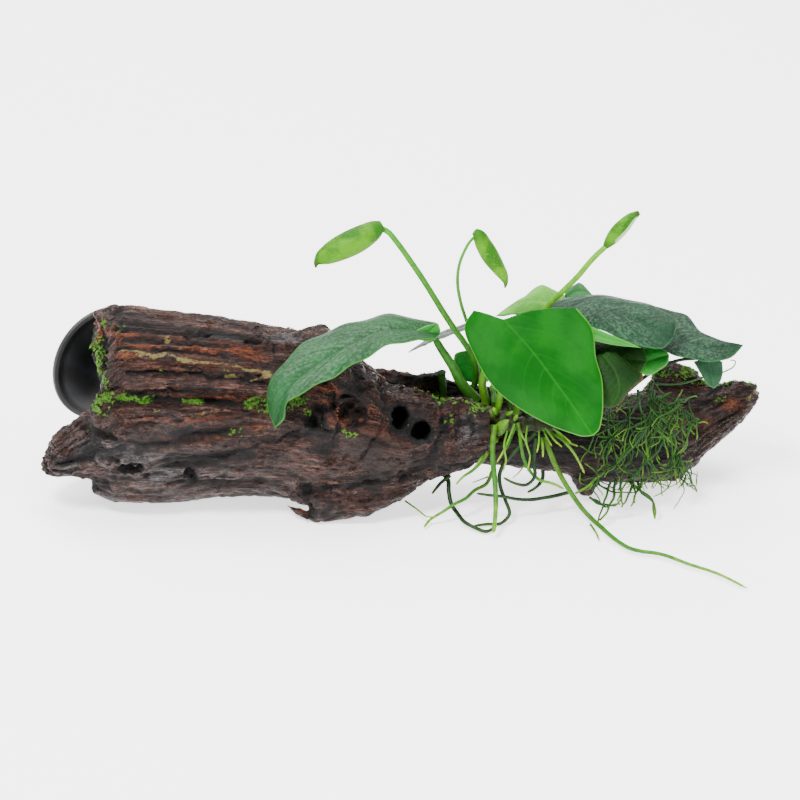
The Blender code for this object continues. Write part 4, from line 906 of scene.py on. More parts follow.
def blade_points(shape, rows, halves):
    tip = [shape.get("tip", shape["mid"][-1])]
    rib, far, near = [smooth_route(grown(curve), rows + 1)
                      for curve in (shape["mid"], shape["far"] + tip, shape["near"] + tip)]
    back = (rib[0] - rib[1]) / np.linalg.norm(rib[0] - rib[1])
    across = np.linspace(-1, 1, 2 * halves + 1)
    height, count = shape["waves"]
    upper, lower, spots_on = [], [], []
    for i in list(range(rows)) + [rows - 1 + LAST_ROW]:
        at = int(i)
        more = i - at
        along = i / rows
        rib_here = rib[at] + (rib[at + 1] - rib[at]) * more
        far_here = far[at] + (far[at + 1] - far[at]) * more
        near_here = near[at] + (near[at + 1] - near[at]) * more
        width = np.linalg.norm(far_here - near_here)
        face = np.cross(far[at] - near[at], rib[at + 1] - rib[at])
        face = face / max(np.linalg.norm(face), 1e-9)
        if face[2] < 0:
            face = -face
        for t in across:
            share = abs(t)
            edge = far_here if t > 0 else near_here
            bite = shape.get("torn", 0) * max(0, t) ** 2 * sin(pi * along) * (
                1 + noise.noise((along * 11, 3.3, 0.5)) + noise.noise((along * 31, 1.3, 2.5)))
            point = rib_here + (edge - rib_here) * share * (1 - max(0, bite))
            point = point + face * 0.2 * width * share * (1 - share)
            lobe = shape["lobe"][1 if t > 0 else 0]
            point = point + back * lobe * sin(pi * share) * (1 - along) ** 5
            side = 2.0 if t > 0 else 0.0
            wave = height * share**3 * sin(2 * pi * count * along + side) * sin(pi * along) ** 0.5
            vein = sin(pi * vein_phase(t, along)) ** 8 * (1 - share) ** 0.4 * min(1, width / 25)
            swell = QUILT * cos(2 * pi * vein_phase(t, along)) * (1 - share**4) * min(1, width / 25)
            swell += 0.5 * QUILT * noise.noise((3.0 * t * width / 25, 16 * along, 2.0))
            thick = HALF_THICK * (1 - 0.55 * share**8)
            rib_bump = np.exp(-(t * width / 1.8) ** 2)
            point = point + face * wave
            point = point + face * swell
            upper.append(point + face * (thick - 0.3 * rib_bump - 0.06 * vein))
            lower.append(point - face * (thick + 0.4 * rib_bump * (1 - along) + 0.06 * vein))
            spots_on.append((t, along, width))
    return upper, lower, spots_on


def grid_faces(rows, columns, start, flip):
    faces = []
    for i in range(rows - 1):
        for k in range(columns - 1):
            a = start + i * columns + k
            quad = (a, a + 1, a + 1 + columns, a + columns)
            faces.append(quad[::-1] if flip else quad)
    return faces


def closed_blade(name, shape, rows, halves):
    upper, lower, spots_on = blade_points(shape, rows, halves)
    columns, count = 2 * halves + 1, len(upper)
    rings = count // columns
    faces = grid_faces(rings, columns, 0, False) + grid_faces(rings, columns, count, True)
    rim = list(range(columns))
    rim += [i * columns + columns - 1 for i in range(1, rings)]
    rim += [(rings - 1) * columns + k for k in range(columns - 2, -1, -1)]
    rim += [i * columns for i in range(rings - 2, 0, -1)]
    for a, b in zip(rim, rim[1:] + rim[:1]):
        faces.append((b, a, count + a, count + b))
    leaf = mesh_object(name, upper + lower, faces)
    face_outwards(leaf.data)
    spots_on = np.array(spots_on * 2)
    mark(leaf, "across", spots_on[:, 0])
    mark(leaf, "along", spots_on[:, 1])
    mark(leaf, "width", spots_on[:, 2])
    mark(leaf, "under", [0.0] * count + [1.0] * count)
    return leaf


# %% [markdown]
# ## The finish of a leaf
#
# One recipe dresses all leaves, with other greens: fine streaks along the side veins, a pale rim
# about half a millimetre wide, a pale midrib and a lighter, duller underside. The left and the dark
# leaves also get a painted sheen of pale green flecks, and the front leaf is painted lighter
# towards its stalk as painted light. `WAX` is how much the skin of each kind mirrors. The left, the
# dark and the edge-on leaves shine, and the front one hardly does.

# %% Leaf finishes
def leaf_painter(deep, fresh, vein, rim, streak=0.5, painted_sheen=0.0, quilt=0.35, painted_light_at_stalk=0.0, torn=False):
    def paint(graph):
        across, along = graph.attribute("across"), graph.attribute("along")
        width, under = graph.attribute("width"), graph.attribute("under")
        share = across.size()
        phase = (along - (share ** 1.25) * VEIN_ARCH) * VEINS_EACH_SIDE
        veins = ((phase * pi).sine().size() ** 60) * (1 - share)
        flow = graph.node("ShaderNodeCombineXYZ", None, {"X": phase * 3.2, "Y": share * 1.1,
                                                         "Z": (across + 1) * 0.4})
        streaks = graph.cloud(flow, 1.6, 4.0, 0.6)
        mottle = graph.cloud(graph.here(), 0.07, 3.0, 0.5)
        fine = graph.cloud(graph.here(), 0.8, 4.0, 0.65)
        # Painted light: the front leaf's greens grow lighter towards its stalk.
        mix = mottle * (1 - streak) + streaks * streak + (0.4 - along) * painted_light_at_stalk
        colour = graph.blend(deep, fresh, mix.step(0.36, 0.64))
        # Painted sheen: flecks of pale green over the middle of the blade.
        if painted_sheen:
            middle = along.step(0.0, 0.25) * along.step(1.0, 0.66)
            shine = (streaks * 0.3 + fine * 0.7).step(0.46, 0.6) * middle * painted_sheen
            colour = graph.blend(colour, (0.06, 0.14, 0.078), shine)
        colour = graph.blend(colour, vein, veins * 0.25)
        rib = 1 - (share * width).step(0.3, 1.5)
        colour = graph.blend(colour, vein, rib * 0.55)
        edge = 1 - ((1 - share) * width).step(0.25, 1.1)
        colour = graph.blend(colour, rim, edge * 0.85)
        if torn:
            worn = (across + mottle * 0.5).step(1.02, 1.2) * along.step(0.25, 0.4)
            colour = graph.blend(colour, (0.06, 0.03, 0.006), worn)
            freckle = fine.step(0.66, 0.72) * 0.6
            colour = graph.blend(colour, (0.05, 0.036, 0.005), freckle)
        colour = graph.blend(colour, graph.blend(colour, fresh, 0.75), under * 0.8)
        rough = 0.3 + streaks * 0.14 + under * 0.15
        return {"Base Color": colour, "Roughness": rough,
                "Normal": graph.bump(streaks * 0.8 + fine * 1.2, 1.4, quilt)}
    return paint


# The 'shade' greens are painted shade: darker copies for the leaves that lie under others. The
# 'lit' greens are brighter, and on the small right leaf they are painted light, as it is lit from
# behind.
LEAF_TONES = {
    "bright": dict(deep=(0.0016, 0.058, 0.0028), fresh=(0.0044, 0.088, 0.005), painted_light_at_stalk=0.14,
                   vein=(0.01, 0.12, 0.008), rim=(0.08, 0.26, 0.03), streak=0.12,
                   quilt=0.12),
    "lit": dict(deep=(0.004, 0.1, 0.007), fresh=(0.016, 0.18, 0.012),
                vein=(0.03, 0.2, 0.02), rim=(0.06, 0.26, 0.03), streak=0.3),
    "pale": dict(deep=(0.05, 0.23, 0.018), fresh=(0.13, 0.38, 0.05),
                 vein=(0.08, 0.29, 0.04), rim=(0.04, 0.2, 0.02), streak=0.5),
    "top": dict(deep=(0.012, 0.075, 0.018), fresh=(0.028, 0.13, 0.034),
                vein=(0.04, 0.15, 0.04), rim=(0.05, 0.19, 0.04), streak=0.4),
    "sheen": dict(deep=(0.0014, 0.034, 0.004), fresh=(0.005, 0.078, 0.012),
                  vein=(0.003, 0.036, 0.006), rim=(0.036, 0.17, 0.016), streak=0.6,
                  painted_sheen=0.62, quilt=0.6),
    "dark": dict(deep=(0.002, 0.018, 0.006), fresh=(0.007, 0.044, 0.017),
                 vein=(0.011, 0.052, 0.022), rim=(0.02, 0.098, 0.028), streak=0.45,
                 painted_sheen=0.55, quilt=0.8),
    "shade": dict(deep=(0.003, 0.018, 0.002), fresh=(0.0075, 0.034, 0.0036),
                  vein=(0.012, 0.05, 0.006), rim=(0.016, 0.06, 0.007), streak=0.3),
    "ashen": dict(deep=(0.014, 0.036, 0.022), fresh=(0.03, 0.062, 0.042),
                  vein=(0.04, 0.08, 0.05), rim=(0.05, 0.1, 0.06), streak=0.5),
    "droop": dict(deep=(0.005, 0.03, 0.011), fresh=(0.014, 0.06, 0.024),
                  vein=(0.022, 0.08, 0.034), rim=(0.04, 0.12, 0.04), streak=0.4),
}
WAX = {"sheen": 0.22, "dark": 0.2, "ashen": 0.4, "bright": 0.05, "shade": 0.06}
leaf_finishes = {
    tone: finish_of(f"leaf_{tone}", leaf_painter(**greens),
                    Specular_IOR_Level=WAX.get(tone, 0.14))
    for tone, greens in LEAF_TONES.items()}
leaf_finishes["torn"] = finish_of(
    "leaf_torn", leaf_painter(**LEAF_TONES["shade"], torn=True), Specular_IOR_Level=0.08)

for name, shape in LEAVES.items():
    reach = np.linalg.norm(seen(*shape["mid"][0]) - seen(*shape["mid"][-1]))
    rows = int(np.clip(reach * 1.5, 20, 84))
    leaf = closed_blade(f"{name}_blade", shape, rows, 14 if reach > 25 else 8)
    leaf.data.materials.append(leaf_finishes["torn" if "torn" in shape else shape["finish"]])
    join_frame(leaf, LEAF_SLOTS.get(shape["finish"], "leaf_mid"), name)
    print(f"{name}: {reach:.0f} mm long, {len(leaf.data.polygons)} faces")

# %% [markdown]
# Two leaves fold over and show a strip of their bright underside: the left one where its stalk
# joins it, and the dark one along its lower edge. Each strip is a small blade of its own, which
# grows out of the large one.

# %% Folded strips
FOLDED_STRIPS = {
    "leaf_left_corner": dict(
        mid=[(5.4, 71.6, 9.6), (11, 73.6, 10.2), (15.4, 77, 12.4)],
        far=[(6, 74, 10.6), (11.4, 76.4, 12)],
        near=[(5, 70.6, 8.6), (14.4, 70.8, 10.2), (16.2, 73.6, 11)],
        lobe=(0.1, 0.1), waves=(0.1, 1)),
    "leaf_dark_back_strip": dict(
        mid=[(74, 74, 5.6), (85, 70, 1.4), (96.6, 67.2, -1.2)],
        far=[(74, 76.8, 6.8), (86, 71.8, 2.2)],
        near=[(74, 71, 4.4), (84, 68.6, 0.8)],
        lobe=(0.1, 0.1), waves=(0.1, 1)),
}
for name, shape in FOLDED_STRIPS.items():
    strip = closed_blade(name, shape, 20, 8)
    strip.data.materials.append(leaf_finishes["lit"])
    join_frame(strip, "leaf_mid")

# %% [markdown]
# ## Living tubes
#
# Stalks, roots and the creeping stem are all round, a little lumpy, and follow a path. That is a
# rule, so a Geometry Nodes tree makes them: it turns a line of edges into a curve, sweeps a
# circle along it with the radius stored on each point, and pushes the skin in and out by noise.
# The tree names its inputs, and its seed keeps the lumps the same in every run.

# %% The tube tree
def new_tree(name, inputs):
    tree = bpy.data.node_groups.new(name, "GeometryNodeTree")
    tree.interface.new_socket("Geometry", in_out="INPUT", socket_type="NodeSocketGeometry")
    for title, kind in inputs.items():
        tree.interface.new_socket(title, in_out="INPUT", socket_type=f"NodeSocket{kind}")
    tree.interface.new_socket("Geometry", in_out="OUTPUT", socket_type="NodeSocketGeometry")
    return tree


def finish_tree(graph, geometry, material):
    """Every tree ends in plain, painted mesh."""
    real = graph.node("GeometryNodeRealizeInstances", None, {"Geometry": geometry})
    painted = graph.node("GeometryNodeSetMaterial", None, {"Geometry": real,
                                                           "Material": material})
    graph.node_output(painted)


class TreeGraph(Graph):
    def __init__(self, tree):
        super().__init__(tree)
        self.entry = tree.nodes.new("NodeGroupInput")

    def given(self, title):
        return Wire(self, self.entry.outputs[title])

    def named(self, title):
        return self.node("GeometryNodeInputNamedAttribute", {"data_type": "FLOAT"},
                         {"Name": title}, "Attribute")

    def node_output(self, wire):
        out = self.tree.nodes.new("NodeGroupOutput")
        self.tree.links.new(wire.socket, out.inputs["Geometry"])


def tube_tree():
    tree = new_tree("living_tube", {"Sides": "Int", "Lump size": "Float",
                                    "Lump height": "Float", "Seed": "Float",
                                    "Material": "Material"})
    graph = TreeGraph(tree)
    curve = graph.node("GeometryNodeMeshToCurve", None, {"Mesh": graph.given("Geometry")})
    ring = graph.node("GeometryNodeCurvePrimitiveCircle", {"mode": "RADIUS"},
                      {"Resolution": graph.given("Sides"), "Radius": 1.0})
    tube = graph.node("GeometryNodeCurveToMesh", None, {
        "Curve": curve, "Profile Curve": ring, "Scale": graph.named("radius"),
        "Fill Caps": True})
    spot = graph.node("GeometryNodeInputPosition")
    lumps = graph.node("ShaderNodeTexNoise", {"noise_dimensions": "4D"}, {
        "Vector": spot, "W": graph.given("Seed"), "Scale": 1 / graph.given("Lump size"),
        "Detail": 2.0})
    push = (lumps - 0.5) * graph.given("Lump height")
    normal = graph.node("GeometryNodeInputNormal")
    offset = graph.node("ShaderNodeVectorMath", {"operation": "SCALE"},
                        {0: normal, "Scale": push})
    tube = graph.node("GeometryNodeSetPosition", None, {"Geometry": tube, "Offset": offset})
    tube = graph.node("GeometryNodeSetShadeSmooth", None, {"Geometry": tube})
    finish_tree(graph, tube, graph.given("Material"))
    return tree


def run_tree(obj, tree, **values):
    """Sets the tree's inputs by their sockets, then keeps only the plain mesh it makes."""
    step = obj.modifiers.new(tree.name, "NODES")
    step.node_group = tree
    sockets = {item.name: item.identifier for item in tree.interface.items_tree
               if item.in_out == "INPUT"}
    for title, value in values.items():
        step[sockets[title.replace("_", " ")]] = value
    made = evaluated_mesh(obj)
    obj.modifiers.remove(step)
    obj.data = made
    return obj


living_tube = tube_tree()


def grow_tubes(name, routes, radii, material, sides, lump, seed=0.0):
    """One piece from one or more routes. radii are the radius at each point of each route."""
    points = np.concatenate(routes)
    starts = np.cumsum([0] + [len(route) for route in routes])
    edges = [(i, i + 1) for a, b in zip(starts[:-1], starts[1:]) for i in range(a, b - 1)]
    obj = mesh_object(name, points, [], edges)
    mark(obj, "radius", np.concatenate(radii) * MM)
    mark(obj, "along", np.concatenate([np.linspace(0, 1, len(route)) for route in routes]))
    mark(obj, "tint", np.concatenate([np.full(len(route), (k * 0.618) % 1)
                                      for k, route in enumerate(routes)]))
    return run_tree(obj, living_tube, Sides=sides, Lump_size=lump[0] * MM,
                    Lump_height=lump[1] * MM, Seed=float(seed), Material=material)


# %% [markdown]
# ## The finish of stalks and roots
#
# A stalk is fresh green at its blade and mostly darker at its foot, with fine threads.
# Roots are duller where they are old and bright at their growing tip. One recipe mixes three
# colours along the tube and breaks them up with noise.

# %% Stalk and root finishes
def tube_painter(top, middle, foot, spread=0.35, rough=0.4, thread=0.3):
    def paint(graph):
        along, tint = graph.attribute("along"), graph.attribute("tint")
        spot = graph.here()
        mottle = graph.cloud(spot, 0.35, 4.0, 0.6)
        threads = graph.cloud(graph.stretched(spot, (1.0, 1.0, 0.12)), 2.6, 3.0)
        place_on = along + (mottle - 0.5) * spread
        colour = graph.blend(top, middle, place_on.step(0.02, 0.5))
        colour = graph.blend(colour, foot, place_on.step(0.55, 0.98))
        lit = (mottle + tint * 0.25).step(0.34, 0.62)
        shade = graph.blend((0.36, 0.4, 0.36), (1.0, 1.0, 1.0), lit)
        colour = graph.blend(colour, shade, 0.55, "MULTIPLY")
        height = threads * thread + mottle * 0.4
        return {"Base Color": colour, "Roughness": rough + mottle * 0.15,
                "Normal": graph.bump(height, 0.3, 0.5)}
    return paint


# The 'stalk_shaded' greens are painted shade for stalks that lie in the shadow of leaves. The
# deepest shade is for the drooping stalk behind the mound.
TUBE_TONES = {
    "stalk": ((0.036, 0.23, 0.002), (0.024, 0.14, 0.002), (0.014, 0.08, 0.002)),
    "stalk_leaf": ((0.016, 0.105, 0.004), (0.02, 0.12, 0.005), (0.018, 0.09, 0.004)),
    "stalk_yellow": ((0.1, 0.32, 0.002), (0.07, 0.24, 0.002), (0.06, 0.18, 0.003)),
    "stalk_shaded": ((0.01, 0.055, 0.004), (0.012, 0.06, 0.004), (0.016, 0.06, 0.004)),
    "stalk_deep_shade": ((0.004, 0.012, 0.002), (0.006, 0.012, 0.002), (0.01, 0.024, 0.002)),
    "root_green": ((0.05, 0.13, 0.004), (0.026, 0.14, 0.005), (0.12, 0.3, 0.008)),
    "root_dark": ((0.008, 0.03, 0.003), (0.005, 0.024, 0.004), (0.02, 0.055, 0.004)),
    "root_yellow": ((0.04, 0.14, 0.005), (0.09, 0.23, 0.007), (0.23, 0.34, 0.014)),
    "fine_root": ((0.004, 0.026, 0.002), (0.012, 0.06, 0.003), (0.06, 0.14, 0.005)),
}
tube_finishes = {tone: finish_of(tone, tube_painter(*colours), Specular_IOR_Level=0.2)
                 for tone, colours in TUBE_TONES.items()}

# %% [markdown]
# ## The creeping stem
#
# The stem that all stalks and roots grow from creeps along the wood. Each lost leaf left a ring
# on it, where its radius swells. A second piece holds the buds that sit along it.

# %% Creeping stem and buds
RHIZOME = [(16, 42.8, 22.8), (25, 42.4, 21), (32.5, 42.2, 17.8), (39, 39.4, 11.8),
           (45, 37.2, 7.2), (55, 36.8, 6.2), (67, 37.6, 7.6), (79, 39.4, 11.5), (87, 41, 15)]
RHIZOME_RADIUS = 3.6
RINGS = 15


def paint_stem(graph):
    along, spot = graph.attribute("along"), graph.here()
    mottle = graph.cloud(spot, 0.5, 4.0, 0.6)
    scar = ((along * (RINGS * pi)).sine().size() ** 6)
    # Dark green beyond its start: partly painted shade where the stem lies behind the front leaf,
    # partly its older part. Near the start it is mottled lighter green.
    lit = mottle.step(0.4, 0.66) * along.step(0.42, 0.22)
    colour = graph.blend((0.012, 0.024, 0.003), (0.085, 0.17, 0.008), lit)
    colour = graph.blend(colour, (0.03, 0.016, 0.004), scar * 0.8 * mottle.step(0.3, 0.6))
    return {"Base Color": colour, "Roughness": 0.42 + mottle * 0.2,
            "Normal": graph.bump(mottle + scar * 0.4, 0.4, 0.6)}


stem_finish = finish_of("creeping_stem", paint_stem, Specular_IOR_Level=0.25)
bud_finish = finish_of("stem_bud", tube_painter((0.03, 0.07, 0.004), (0.07, 0.18, 0.006),
                                                (0.13, 0.3, 0.012)), Specular_IOR_Level=0.25)
stem_route = smooth_route(grown(RHIZOME), 180)
stem_share = np.linspace(0, 1, len(stem_route))
stem_radii = RHIZOME_RADIUS * (0.82 + 0.18 * np.abs(np.sin(RINGS * pi * stem_share)) ** 4)
stem_radii *= np.minimum(1, 0.45 + 9 * stem_share) * (1 - 0.55 * eased_step(stem_share, 0.5, 1))
stem = grow_tubes("creeping_stem", [stem_route], [stem_radii], stem_finish, 18, (3.0, 1.1), 3)
join_frame(stem, "rhizome", "rhizome")

BUDS = [  # where it starts, where it points to, radius
    ((38.8, 33.6, 6), (43.4, 38.4, 2), 2.5), ((42.6, 40.4, 6.2), (45.2, 42, 2.4), 0.9),
    ((38.4, 31.2, 4.6), (37.2, 29, 1.4), 1.4), ((45.8, 38.4, 4.4), (47, 40.6, 2.2), 0.9),
    ((38.4, 41, 7.4), (37.4, 43.4, 4.4), 1.2), ((31, 43.4, 15), (31, 44.6, 12.8), 1.4),
    ((37, 36, 6), (36.4, 33.6, 2.4), 1.2), ((24, 44.6, 18), (24.6, 46.4, 16.6), 1.3),
]
bud_routes = [smooth_route(grown([a, b]), 12) for a, b, _ in BUDS]
bud_radii = [radius * np.sin(np.linspace(0.32 * pi, 0.99 * pi, 12)) ** 0.75
             for _, _, radius in BUDS]
buds = grow_tubes("stem_buds", bud_routes, bud_radii, bud_finish, 12, (1.6, 0.5), 8)
join_frame(buds, "rhizome")
print("creeping stem:", len(stem.data.polygons), "faces,", len(BUDS), "buds")

# %% [markdown]
# ## The stalks
#
# A leaf stalk clasps the creeping stem with a wide foot and narrows towards its blade. Flower
# stalks are slender to the foot and lean over under their sheaths. All routes follow the packed
# ones.

# %% Stalks
STALKS = {  # route from blade to foot, radius at top and foot, tone
    "stalk_left": ([(13.4, 72, 14.4), (16, 67.6, 14.6), (21, 60, 15.5), (25, 52.6, 17),
        (29.5, 47.4, 18.4)], 1.4, 2.5, "stalk_leaf"),
    "stalk_front": ([(44.4, 76.4, 2), (43, 67, 6), (41.6, 56, 7.5), (40, 48, 7.4),
        (39.4, 43.8, 8.6)], 1.3, 1.4, "stalk_yellow"),
    "stalk_dark_back": ([(58.6, 82.4, 22), (56, 72, 20), (53, 60, 17), (51, 48, 12),
        (50.4, 42, 8.5)], 1.3, 1.7, "stalk_shaded"),
    "stalk_dark_right": ([(98, 74, 24), (88, 67, 23), (78, 59, 21), (70, 49, 15),
        (66.5, 42.8, 9.4)], 1.3, 1.7, "stalk_shaded"),
    "stalk_pale_back": ([(64.6, 82, 41), (56, 75, 34), (44, 68, 24), (35, 60, 16.4),
        (33, 53, 15.4), (34.2, 46.6, 16.2)], 1.2, 1.7, "stalk_yellow"),
    "stalk_top_small": ([(68, 85, 40.4), (67, 76, 34), (62, 64, 26), (56.6, 51, 16),
        (55, 42, 8)], 1, 1.3, "stalk_shaded"),
    "stalk_edge_on": ([(29, 75, 24.6), (33, 66, 22), (38.4, 56, 19), (43, 48, 14.6),
        (44.2, 43.4, 11)], 1, 1.2, "stalk_shaded"),
    "stalk_trough": ([(36.6, 52.4, 25), (37.4, 49, 21), (37.6, 45.6, 15.4)], 1, 1.1, "stalk"),
    "stalk_shaded": ([(73.4, 65, 15), (68, 58, 15), (62.4, 50, 13),
        (60, 41.8, 7.4)], 1, 1.3, "stalk_shaded"),
    "stalk_damaged": ([(80.6, 63, 7), (77.6, 57, 8.6), (73.8, 48.6, 10.6),
        (72, 43, 10)], 1.1, 1.4, "stalk_shaded"),
    "stalk_small_right": ([(93.6, 56.6, 12.4), (89, 51, 14), (83.6, 46.4, 15),
        (81, 44.6, 14)], 0.9, 1.1, "stalk"),
    "stalk_drooping": ([(122.6, 63.2, 12.6), (112, 62.4, 15.4), (101, 57.6, 19),
        (92, 50.6, 18.6), (86.6, 45.4, 16.4)], 0.7, 0.8, "stalk_deep_shade"),
    "cut_stalk": ([(16.6, 57.6, 20.4), (17.2, 52, 21.2),
        (17.8, 47.2, 22.4)], 1.6, 1.3, "stalk_shaded"),
    "flower_stalk_left": ([(-8.4, 115.2, 3.9), (-5.2, 113.8, 4.2), (-1.6, 109.8, 5),
        (3.8, 102.4, 6.6), (10.4, 92.6, 8.6), (17, 82, 10.8), (22.3, 74, 12.8),
        (26.4, 68.4, 14.6), (29.4, 63, 17), (30.4, 55, 21.4),
        (27.6, 47.2, 23.4)], 1.15, 1.3, "stalk"),
    "flower_stalk_middle": ([(31, 112.4, 7), (28.6, 110.4, 7), (25.8, 106, 7), (23.6, 100, 7.2),
        (23, 93.2, 7.6), (24, 86.6, 8), (26.4, 78.6, 9), (29.6, 70.4, 10), (33.6, 62.4, 11),
        (37.8, 53.6, 11.6), (40, 46.4, 12.6)], 0.6, 0.8, "stalk"),
    "flower_stalk_right": ([(83.6, 109, 20.6), (77, 102.8, 18), (71.4, 96.2, 16),
        (64.8, 89.6, 14), (59, 84, 13), (54, 74, 12.6), (50, 61, 11.4), (47.2, 48, 9),
        (46.6, 42, 6.4)], 1.1, 1.25, "stalk_yellow"),
}
FOOT_SUNK = 1.4  # how far a foot runs on into the creeping stem
STALK_POINTS = 60
for name, (points, top, foot, tone) in STALKS.items():
    route = smooth_route(grown(points), STALK_POINTS)
    onward = route[-1] - route[-2]
    route[-1] += onward / np.linalg.norm(onward) * FOOT_SUNK
    share = np.linspace(0, 1, STALK_POINTS)
    radii = top + (foot - top) * share
    if name == "cut_stalk":
        radii = radii + 0.35 * np.exp(-(share / 0.05) ** 2)
    elif not name.startswith("flower"):
        radii = radii * (1 - 0.5 * eased_step(share, 0.1, 0.0))
    stalk = grow_tubes(f"{name}_grown", [route], [radii], tube_finishes[tone], 12, (6.0, 0.16))
    join_frame(stalk, "stalk", name)
print("stalks:", len(STALKS))

# %% [markdown]
# ## The closed flower sheaths
#
# A sheath wraps the unopened flower. It is fattest near its stalk, its two margins overlap in a
# slit, and it ends in a hooked tip. A ring of points is lofted along its route. The ring is
# round but for fine ribs, and steps inwards along the slit, where one margin lies over the other.
# The right sheath has begun to open, so its pale inside shows.

# %% Flower sheaths
SPATHES = {  # places from stalk to tip, each with its radius, slit, inside shows
    "spathe_left": ([(-7, 116.2, 4, 2), (-9.4, 114.8, 3.6, 3.5), (-13.6, 112.2, 2.8, 4.7),
        (-18.4, 109.6, 1.8, 5.2), (-23.4, 107.2, 1, 5), (-28.4, 104.6, -0.2, 4.1),
        (-31.8, 102.6, -1, 2.7), (-33.4, 100.8, -1.4, 1.1), (-33.6, 99.2, -1.6, 0.35)], 2, False),
    "spathe_middle": ([(29.8, 113.6, 7, 1.5), (31.2, 112.4, 7, 2.4), (33.4, 108.4, 6.8, 3.3),
        (36, 104, 6.4, 3.5), (39, 99.4, 6, 2.8), (41.4, 95.6, 5.6, 1.9), (42.2, 93, 5.2, 0.9),
        (41.9, 91.2, 5, 0.3)], 2.6, False),
    "spathe_right": ([(82.2, 107.8, 20.2, 1.3), (83.8, 109.8, 20.6, 2.2),
        (86.6, 113.2, 21.6, 2.9), (89.6, 116.4, 22.6, 2.8), (92.6, 119.4, 23.4, 2),
        (95.6, 121.4, 24, 0.9)], 0.55, True),
}
SHEATH_RINGS, SHEATH_SIDES = 72, 56


def sheath(name, rows, slit, opened):
    rows = np.array(rows)
    route = smooth_route(grown(rows[:, :3]), SHEATH_RINGS)
    share = np.linspace(0, 1, SHEATH_RINGS)
    gaps = np.linalg.norm(np.diff(grown(rows[:, :3]), axis=0), axis=1)
    reach = np.concatenate(([0], np.cumsum(gaps))) / np.sum(gaps)
    radii = [max(0.2, float(through(reach, rows[:, 3], t))) for t in share]
    vertices, lap, inner, along = [], [], [], []
    sideways = TOWARDS_EYE
    for i in range(SHEATH_RINGS):
        ahead = route[min(i + 1, SHEATH_RINGS - 1)] - route[max(i - 1, 0)]
        ahead = ahead / np.linalg.norm(ahead)
        sideways = sideways - ahead * (sideways @ ahead)
        sideways = sideways / np.linalg.norm(sideways)
        third = np.cross(ahead, sideways)
        gap = eased_step(share[i], 0.06, 0.2) * (1 - eased_step(share[i], 0.5, 0.62))
        if opened:
            gap = eased_step(share[i], 0.1, 0.3) * (1 - eased_step(share[i], 0.86, 0.98))
        for k in range(SHEATH_SIDES):
            angle = 2 * pi * k / SHEATH_SIDES
            turn = (angle - slit - 0.3 * sin(3 * share[i]) + pi) % (2 * pi) - pi
            edge = np.exp(-(turn / 0.1) ** 2)
            over = np.exp(-((turn - 0.34) / 0.24) ** 2)
            pale = np.exp(-((turn - 0.3) / 0.3) ** 4) if opened else 0.0
            rib = 0.014 * sin(13 * angle + 1.3) * (share[i] < 0.9)
            out = radii[i] * (1 + rib + gap * (0.07 * over - 0.22 * edge - 0.16 * pale))
            vertices.append(route[i] + out * (cos(angle) * sideways + sin(angle) * third))
            lap.append(edge * gap)
            inner.append(pale * gap)
            along.append(share[i])
    faces = []
    for i in range(SHEATH_RINGS - 1):
        for k in range(SHEATH_SIDES):
            a, b = i * SHEATH_SIDES + k, i * SHEATH_SIDES + (k + 1) % SHEATH_SIDES
            faces.append((a, b, b + SHEATH_SIDES, a + SHEATH_SIDES))
    for ring, end in ((0, route[0]), (SHEATH_RINGS - 1, route[-1])):
        vertices.append(end)
        lap.append(0.0)
        inner.append(0.0)
        along.append(share[ring])
        for k in range(SHEATH_SIDES):
            a = ring * SHEATH_SIDES + k
            b = ring * SHEATH_SIDES + (k + 1) % SHEATH_SIDES
            faces.append((b, a, len(vertices) - 1) if ring == 0 else (a, b, len(vertices) - 1))
    obj = mesh_object(f"{name}_sheath", vertices, faces)
    face_outwards(obj.data)
    mark(obj, "lap", lap)
    mark(obj, "inner", inner)
    mark(obj, "along", along)
    return obj


def paint_sheath(graph):
    along, lap, inner = [graph.attribute(name) for name in ("along", "lap", "inner")]
    spot = graph.here()
    mottle = graph.cloud(spot, 0.1, 2.0, 0.5)
    ribs = graph.cloud(graph.stretched(spot, (0.35, 1.4, 1.4)), 1.6, 3.0)
    colour = graph.blend((0.014, 0.095, 0.001), (0.06, 0.2, 0.001), mottle.step(0.4, 0.6))
    colour = graph.blend(colour, (0.12, 0.3, 0.01), ribs.step(0.52, 0.7) * 0.4)
    colour = graph.blend(colour, (0.012, 0.085, 0.003), along.step(0.22, 0.04) * 0.75)
    # Painted shade along the slit, where one margin lies over the other.
    colour = graph.blend(colour, (0.008, 0.026, 0.002), lap.step(0.3, 0.9) * 0.9)
    colour = graph.blend(colour, (0.38, 0.52, 0.28), inner.step(0.35, 0.7))
    colour = graph.blend(colour, (0.026, 0.05, 0.004), along.step(0.88, 0.97) * 0.85)
    return {"Base Color": colour, "Roughness": 0.36 + ribs * 0.15,
            "Normal": graph.bump(ribs, 0.4, 0.6)}


sheath_finish = finish_of("flower_sheath", paint_sheath, Specular_IOR_Level=0.1)
for name, (rows, slit, opened) in SPATHES.items():
    piece = sheath(name, rows, slit, opened)
    piece.data.materials.append(sheath_finish)
    join_frame(piece, "spathe", name)

# %% [markdown]
# ## The long roots
#
# Roots that find no hold hang and wind in front of the wood. Each packed root was laid clear of
# the wood, the floor and the roots before it, by drawing its route towards the eye where it was
# too close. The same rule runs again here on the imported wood, so each finer root lies where its
# solid is.

